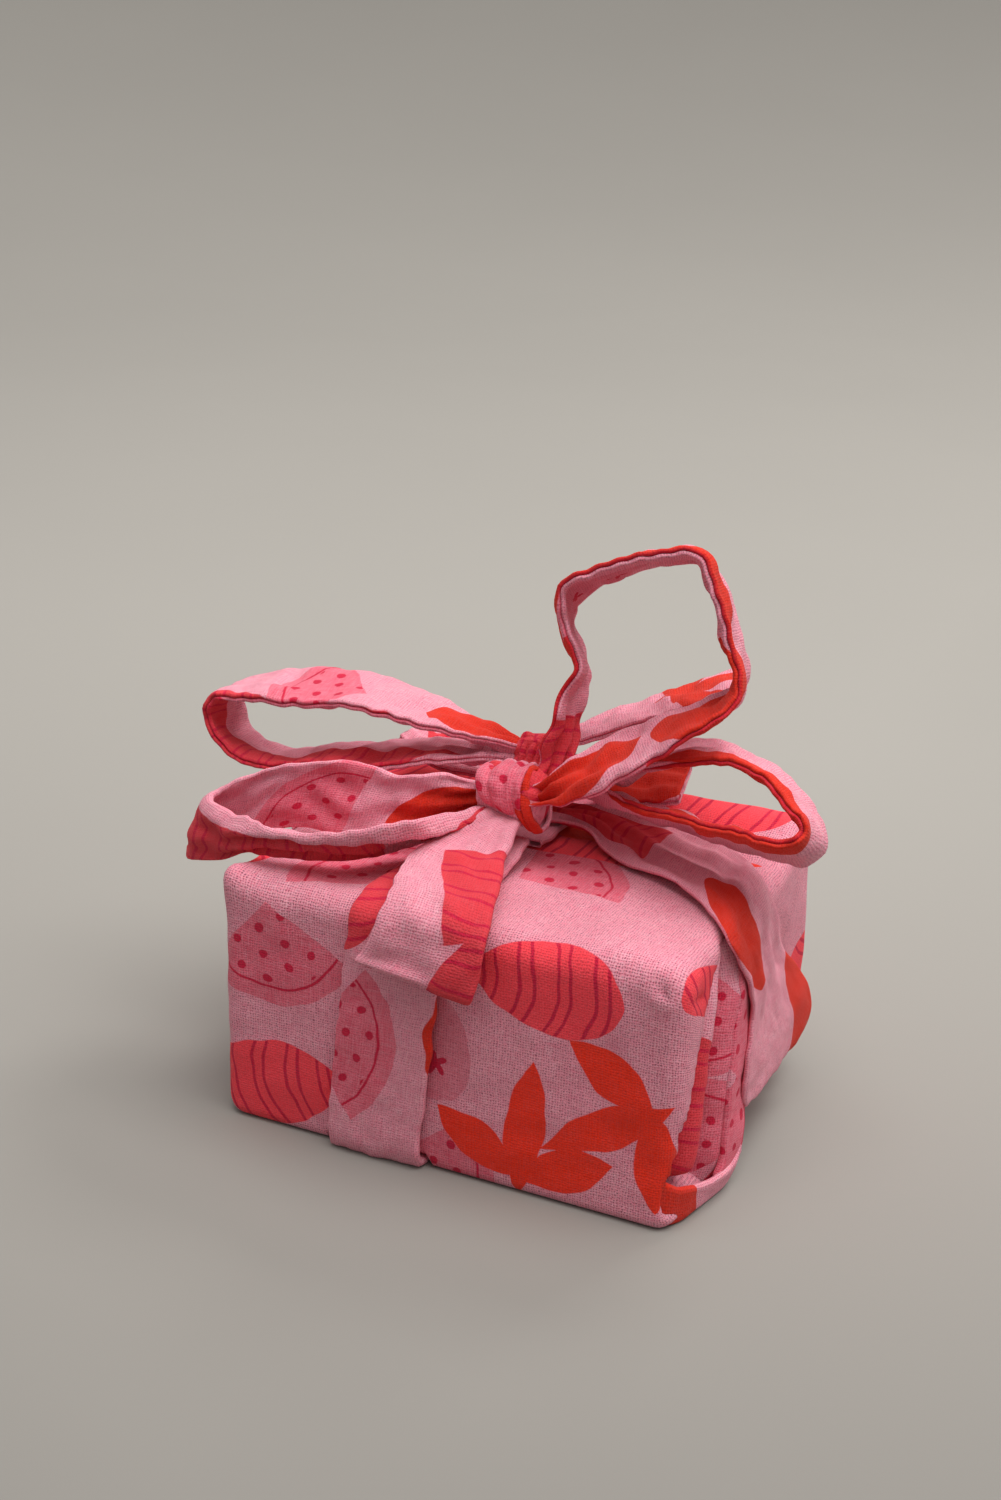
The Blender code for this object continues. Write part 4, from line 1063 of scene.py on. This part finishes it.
def printed_cotton(name, laid, gap_shade, colours, look):
    """Plain-weave cotton, printed: the print's colour, paler on thread tops, painted shade in gaps, matt and
    bumpy.

    Slubs are noise drawn out along either thread; the print hides the threads where it has ink.
    """
    graph = Graph(name)
    cloth = graph.scaled(graph.node("ShaderNodeUVMap", {"uv_map": "cloth"}), 1.0 / MM)
    colour, ink = printed(graph, cloth, laid, colours)
    gap, crown = weave(graph, cloth, look.thread_pitch / MM)
    slub = sum(graph.noise(graph.vector("MULTIPLY", cloth, out), 1.0, 1.0) * MEAN for out in SLUBS)
    worn = graph.noise(cloth, WORN_PACE, 2.0)
    bare = 1.0 - ink * INK_COVER
    specks = graph.noise(cloth, SPECK_PACE, 2.0)
    pale = crown * PALE_CROWN + (slub - MEAN_SLUB) * PALE_SLUB + (worn - MEAN) * PALE_WORN
    pale = pale.held() * bare
    # Painted shade in the gaps between the threads, less where there is ink.
    dark = (gap * (DARK_GAP + (specks - MEAN) * DARK_SPECK)).held() * (DARK_INKED + bare * (1.0 - DARK_INKED))
    colour = graph.mix(pale * look.fade, colour, colours["worn"])
    colour = graph.mix(dark * gap_shade, colour, colours["shade"])
    creases = sum(graph.noise(cloth, pace, detail) * high for pace, detail, high in CREASE_WAVES)
    height = crown * HIGH_CROWN - gap + slub * HIGH_SLUB + creases
    sockets = {"Strength": look.bump, "Distance": BUMP_HEIGHT, "Height": height}
    graph.surface(
        {
            "Base Color": colour,
            "Roughness": (ROUGH + gap * ROUGH_GAP).held(),
            "Normal": graph.node("ShaderNodeBump", {}, sockets),
            "Subsurface Weight": look.glow,
            **CLOTH_LIGHT,
        }
    )
    return graph.material


LENGTH = {"min": 0.0, "subtype": "DISTANCE", "unit": "LENGTH", "precision": 5}
SHARE = {"min": 0.0, "max": 1.0, "subtype": "FACTOR"}
POWER = {"min": 0.0, "unit": "POWER"}
ANGLE = {"subtype": "ANGLE"}
COLOUR = {"min": 0.0, "max": 1.0, "subtype": "COLOR"}  # in linear light
PLACE = {"subtype": "TRANSLATION"}


def number(name, description, default, kind):
    """A number for a user to change, of one of the kinds above; lengths are in metres."""
    return bpy.props.FloatProperty(name=name, description=description, default=default, **kind)


def triple(name, description, default, kind=COLOUR):
    """A colour or a place for a user to change."""
    return bpy.props.FloatVectorProperty(name=name, description=description, default=default, size=3, **kind)


class WrapParcelSizes(bpy.types.PropertyGroup):
    """The wrapped parcel."""

    length: number("Length", "The parcel from end to end", 0.095, LENGTH)
    depth: number("Depth", "The parcel from front to back", 0.074, LENGTH)
    height: number("Height", "The parcel from its base to its top", 0.052, LENGTH)
    cloth: number("Cloth", "How thick one layer of the cloth is", 0.0003, LENGTH)
    fineness: number("Fineness", "The grid step of the wrap cloth", 0.0011, LENGTH)
    wrinkle: number("Wrinkle", "How uneven the wrap cloth lies", 0.00022, LENGTH)
    cut: number("Cut", "The side of the square that the wrap cloth was cut to", 0.23, LENGTH)


class WrapTieSizes(bpy.types.PropertyGroup):
    """The ties of the girth and the bows."""

    width: number("Width", "A tie, folded double", 0.020, LENGTH)
    thickness: number("Thickness", "A tie from face to face", 0.0018, LENGTH)
    hem: number("Turned edge", "How far a tie's raw edges are turned in", 0.0035, LENGTH)
    cut: number("Cut width", "The strip that a tie is folded from", 0.044, LENGTH)


class WrapColours(bpy.types.PropertyGroup):
    """The printed cotton."""

    ground: triple("Ground", "The cloth between the motifs", (0.81, 0.237, 0.328))
    rose: triple("Rose", "The shells", (0.78, 0.10, 0.165))
    blush: triple("Blush", "The pebbles", (0.73, 0.15, 0.22))
    coral: triple("Coral", "The leaves", (0.87, 0.05, 0.07))
    orange: triple("Orange-red", "The sprigs", (0.81, 0.025, 0.004))
    # Crimson also serves as the painted shade on the ties' turned-in raw edges.
    crimson: triple("Crimson", "The fine lines, dots and flowers", (0.6, 0.005, 0.044))
    worn: triple("Thread tops", "What the tops of the threads fade to", (0.92, 0.49, 0.57))
    # Painted shade: what the gaps between the threads darken to.
    shade: triple("Gaps", "The dark between the threads", (0.22, 0.05, 0.09))
    fade: number("Fade", "How far the thread tops fade", 0.9, SHARE)
    # How strong the painted shade in the gaps is.
    gap_shade: number("Gap darkness", "How dark the gaps are", 0.85, SHARE)
    glow: number("Glow", "How much light passes through the cloth", 0.22, SHARE)
    bump: number("Bump", "How strongly the weave stands up", 0.6, SHARE)
    thread_pitch: number("Thread pitch", "From one thread to the next", 0.00052, LENGTH)


class WrapStageLook(bpy.types.PropertyGroup):
    """The floor, the lights and the camera."""

    floor: triple("Floor", "The pale paper floor", (0.372, 0.357, 0.332))
    key: number("Right light", "Its power", 7.0, POWER)
    back: number("Back light", "Its power", 10.0, POWER)
    above: number("Soft light", "Its power", 23.0, POWER)
    around: number("Room light", "Light from all round", 0.5, {"min": 0.0})
    lens: number("Lens", "The focal length in millimetres", 50.0, {"min": 1.0})
    distance: number("Distance", "The camera from what it looks at", 0.4049, LENGTH)
    azimuth: number("Azimuth", "How far the camera stands to the right", math.radians(24.61), ANGLE)
    elevation: number("Elevation", "How far the camera looks down", math.radians(20.57), ANGLE)
    roll: number("Roll", "How far the camera leans", math.radians(1.71), ANGLE)
    target: triple("Target", "What the camera looks at", (-0.00642, 0.0, 0.07223), PLACE)


COLOUR_NAMES = ("ground", "rose", "blush", "coral", "orange", "crimson", "worn", "shade")
BRIGHT_INKS = ("coral", "orange")
# Each cloth's material, print, share of the painted shade in its gaps, and how far its bright inks are scaled
# as
# painted light: up on the wrap cloth's shell, down on the ties, straps and folds. The wrap cloth is a single
# layer, whose gaps show dark; the doubled cloth of the ties and folds shows them less.
WRAP_COTTON = ("printed_cotton_wrap", WRAP_PRINT, 1.0, 1.15)
TIE_COTTON = ("printed_cotton_ties", TIE_PRINT, 0.62, 0.84)


def cotton(name, laid, gap_shade_share, painted_ink_light):
    """A cloth's printed cotton, made once."""
    found = bpy.data.materials.get(name)
    if found:
        return found
    look = bpy.context.scene.wrap_colours
    colours = {key: (*getattr(look, key), 1.0) for key in COLOUR_NAMES}
    # Painted light: the bright inks scaled up or down for each cloth.
    for ink in BRIGHT_INKS:
        colours[ink] = (*(painted_ink_light * part for part in getattr(look, ink)), 1.0)
    return printed_cotton(name, laid, gap_shade_share * look.gap_shade, colours, look)


def declare(node):
    """Hides the node that the cloth stands for."""
    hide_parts(node)
    return {"FINISHED"}


class WRAP_OT_parcel_cloth(bpy.types.Operator):
    """Make the wrap cloth: its shell, the straps drawn up from its ends, and the pleats of an end"""

    bl_idname = "wrap.parcel_cloth"
    bl_label = "Wrap Cloth"

    def execute(self, context):
        sizes = context.scene.wrap_parcel
        cloth = Cloth("wrap_cloth_sheet")
        cloth.add(*shell_grid(sizes), place=SHELL_PRINT, closed_columns=True)
        for rows, width, form, seed, lay, place in WRAP_STRIPS:
            section = (tongue_section if "bulge" in form else hemmed_section)(width, **form)
            cloth.add(*strip(rows, section, width, seed, lay), place=place, laid=1, flip=True)
        made = cloth.build((cotton(*WRAP_COTTON), cotton(*TIE_COTTON)), sizes.cloth / MM)
        return declare("wrap_cloth")


def tie_strip(cloth, rows, lay, seed, sizes):
    """Adds one length of a tie to its cloth; returns how long it is in metres."""
    width = sizes.width / MM
    section = doubled_section(width, sizes.thickness / MM, sizes.hem / MM, TIE_COLUMNS)
    fold_near = lay.get("fold_near", False)
    if fold_near:
        section = section * (-1.0, 1.0) + (width, 0.0)
    points, uv = strip(rows, section, width, seed, lay)
    cloth.add(points, uv, place=lay["print"], flip=not fold_near)
    return uv[-1, 0, 1] * MM


def tie(context, name, node, strips, knot=None):
    """Makes a tie of several lengths and its knot, as one piece of cloth in place of its node."""
    sizes = context.scene.wrap_ties
    cloth = Cloth(name)
    length = sum(tie_strip(cloth, rows, lay, seed, sizes) for rows, lay, seed in strips)
    if knot:
        cloth.add(*knot_core(knot), place=knot["print"], closed_columns=True)
        for lap in knot["passes"]:
            points, uv = knot_pass(lap)
            cloth.add(points, uv, place=lap["print"], closed_rows=True, flip=True)
            length += uv[-1, 0, 1] * MM
        length += TURN * knot["radii"][2] * MM
    made = cloth.build((cotton(*TIE_COTTON),), context.scene.wrap_parcel.cloth / MM)
    return declare(node)


class WRAP_OT_girth_tie(bpy.types.Operator):
    """Make the tie that goes round the parcel's middle and under its base"""

    bl_idname = "wrap.girth_tie"
    bl_label = "Girth Tie"

    def execute(self, context):
        return tie(context, "girth_tie", "girth_band", GIRTH_STRIPS)


class WRAP_OT_front_bow(bpy.types.Operator):
    """Make the front bow: its low left loop, its tall loop, its knot and the tail over the front"""

    bl_idname = "wrap.front_bow"
    bl_label = "Front Bow"

    def execute(self, context):
        return tie(context, "front_bow_tie", "front_bow", FRONT_STRIPS, FRONT_KNOT)


class WRAP_OT_rear_bow(bpy.types.Operator):
    """Make the rear bow: its long left loop, its low right loop, its knot and its three tails"""

    bl_idname = "wrap.rear_bow"
    bl_label = "Rear Bow"

    def execute(self, context):
        return tie(context, "rear_bow_tie", "rear_bow", REAR_STRIPS, REAR_KNOT)


# The stage, in metres. Of each light: its place, its size and its colour.
LIGHTS = {
    "key": ((0.95, 0.12, 1.6), 1.1, (1.0, 0.97, 0.93)),
    "back": ((0.3, 1.15, 1.5), 0.5, (1.0, 0.97, 0.94)),
    "above": ((0.35, -0.2, 1.6), 1.4, (1.0, 0.98, 0.96)),
}
AIM = (0.0, 0.0, 0.03)
ROOM_COLOUR = (1.0, 0.98, 0.95, 1.0)
FLOOR_FLAT, FLOOR_RADIUS, FLOOR_TURN = 0.9, 1.7, math.radians(62.0)
FLOOR_RINGS, RISE_RINGS, FLOOR_COLUMNS = 11, 20, 96
# Painted shade on the paper, darker in front, behind and to the right: where each starts, over what reach,
# and how far.
FRONT, BEHIND, BESIDE = (-0.24, 0.5, 0.95), (1.0, 1.7, 0.75), (0.0, 0.14, 0.22)
CLOUDY_DEPTH, DEEP_TONE = 0.1, 0.5
SENSOR_WIDTH = 36.0  # in millimetres
NEAR_CLIP = 0.01


def bowl_grid(flat, radius, turn):
    """A paper floor that rises all round: flat out to a circle, then up along an arc."""
    rise = np.linspace(0.0, turn, RISE_RINGS)
    rings = np.linspace(0.0, flat, FLOOR_RINGS + 1)[:-1]
    reach = np.concatenate([rings, flat + radius * np.sin(rise)])[:, None]
    height = np.concatenate([np.zeros(FLOOR_RINGS), radius * (1 - np.cos(rise))])[:, None]
    angle = np.linspace(0.0, TURN, FLOOR_COLUMNS, endpoint=False)[None, :]
    return together(reach * np.cos(angle), reach * np.sin(angle), height)


def paper(pale):
    """Matt paper: its colour with faint wide unevenness, and painted shade far behind, in front and to the
    right.
    """
    graph = Graph("pale_paper")
    place = graph.node("ShaderNodeTexCoord", {}, {}, 3)
    cloudy = graph.node("ShaderNodeTexNoise", {}, {"Vector": place, "Scale": 5.0, "Detail": 3.0})
    x, y = graph.parts(place)
    ways = ((y, FRONT), (y, BEHIND), (x, BESIDE))
    front, behind, beside = (((way - start) / reach).held() for way, (start, reach, _) in ways)
    front = (1.0 - front) * (1.0 - front)
    # Painted shade in front, behind and to the right, with the paper's own faint unevenness.
    depth = front * FRONT[2] + behind * BEHIND[2] + beside * BESIDE[2] + cloudy * CLOUDY_DEPTH
    depth = depth.held()
    deep = (*(DEEP_TONE * part for part in pale), 1.0)
    tone = graph.mix(depth, (*pale, 1.0), deep)
    graph.surface({"Base Color": tone, "Roughness": 0.85, "Specular IOR Level": 0.15})
    return graph.material


def area_light(name, power, place, size, tint):
    """A square soft light at a place, turned to its aim."""
    light = bpy.data.lights.new(name, "AREA")
    light.size, light.energy, light.color = size, power, tint
    made = link(name, light)
    made.location = place
    made.rotation_euler = (Vector(AIM) - Vector(place)).to_track_quat("-Z", "Y").to_euler()


def make_camera(look):
    """A camera at its azimuth, elevation and distance from the target, leaning by its roll."""
    az, el, roll = look.azimuth, look.elevation, look.roll
    back = Vector((math.sin(az) * math.cos(el), -math.cos(az) * math.cos(el), math.sin(el)))
    level = (-back).cross(Vector((0.0, 0.0, 1.0))).normalized()
    upright = level.cross(-back)
    right = math.cos(roll) * level + math.sin(roll) * upright
    up = -math.sin(roll) * level + math.cos(roll) * upright
    lens = bpy.data.cameras.new("camera")
    lens.lens, lens.sensor_width, lens.clip_start = look.lens, SENSOR_WIDTH, NEAR_CLIP
    made = link("camera", lens)
    place = Vector(look.target) + back * look.distance
    made.matrix_world = Matrix.Translation(place) @ Matrix((right, up, back)).transposed().to_4x4()
    bpy.context.scene.camera = made


class WRAP_OT_stage(bpy.types.Operator):
    """Set the stage: a pale paper sweep, soft lights and the camera"""

    bl_idname = "wrap.stage"
    bl_label = "Stage"

    def execute(self, context):
        look = context.scene.wrap_stage
        points = bowl_grid(FLOOR_FLAT, FLOOR_RADIUS, FLOOR_TURN)
        corners, _ = grid_faces(*points.shape[:2], closed_columns=True)
        mesh = bpy.data.meshes.new("paper_floor")
        mesh.from_pydata(points.reshape(-1, 3).tolist(), [], corners[:, ::-1].tolist())
        mesh.shade_smooth()
        mesh.materials.append(paper(tuple(look.floor)))
        floor = link("paper_floor", mesh)
        for name, (place, size, tint) in LIGHTS.items():
            area_light(name, getattr(look, name), place, size, tint)
        world = bpy.data.worlds.new("room")
        world.use_nodes = True
        room = world.node_tree.nodes["Background"]
        room.inputs["Color"].default_value = ROOM_COLOUR
        room.inputs["Strength"].default_value = look.around
        context.scene.world = world
        context.scene.view_settings.view_transform = "Standard"
        make_camera(look)
        return {"FINISHED"}


OPERATORS = (WRAP_OT_parcel_cloth, WRAP_OT_girth_tie, WRAP_OT_front_bow, WRAP_OT_rear_bow, WRAP_OT_stage)
GROUPS = {
    "wrap_parcel": WrapParcelSizes,
    "wrap_ties": WrapTieSizes,
    "wrap_colours": WrapColours,
    "wrap_stage": WrapStageLook,
}


class WRAP_PT_panel(bpy.types.Panel):
    """The wrap's pieces, sizes and colours"""

    bl_label = "Furoshiki Wrap"
    bl_idname = "WRAP_PT_panel"
    bl_space_type = "VIEW_3D"
    bl_region_type = "UI"
    bl_category = "Wrap"

    def draw(self, context):
        for name, group in GROUPS.items():
            box = self.layout.box()
            box.label(text=group.__doc__)
            for key in group.__annotations__:
                box.prop(getattr(context.scene, name), key)
        for operator in OPERATORS:
            self.layout.operator(operator.bl_idname)


def register():
    for made in (*GROUPS.values(), *OPERATORS, WRAP_PT_panel):
        bpy.utils.register_class(made)
    for name, group in GROUPS.items():
        setattr(bpy.types.Scene, name, bpy.props.PointerProperty(type=group))


def unregister():
    for name in GROUPS:
        delattr(bpy.types.Scene, name)
    for made in (WRAP_PT_panel, *OPERATORS, *GROUPS.values()):
        bpy.utils.unregister_class(made)


def main():
    """Makes every piece in order."""
    register()
    bpy.ops.wrap.parcel_cloth()
    bpy.ops.wrap.girth_tie()
    bpy.ops.wrap.front_bow()
    bpy.ops.wrap.rear_bow()
    bpy.ops.wrap.stage()


if __name__ == "__main__":
    main()
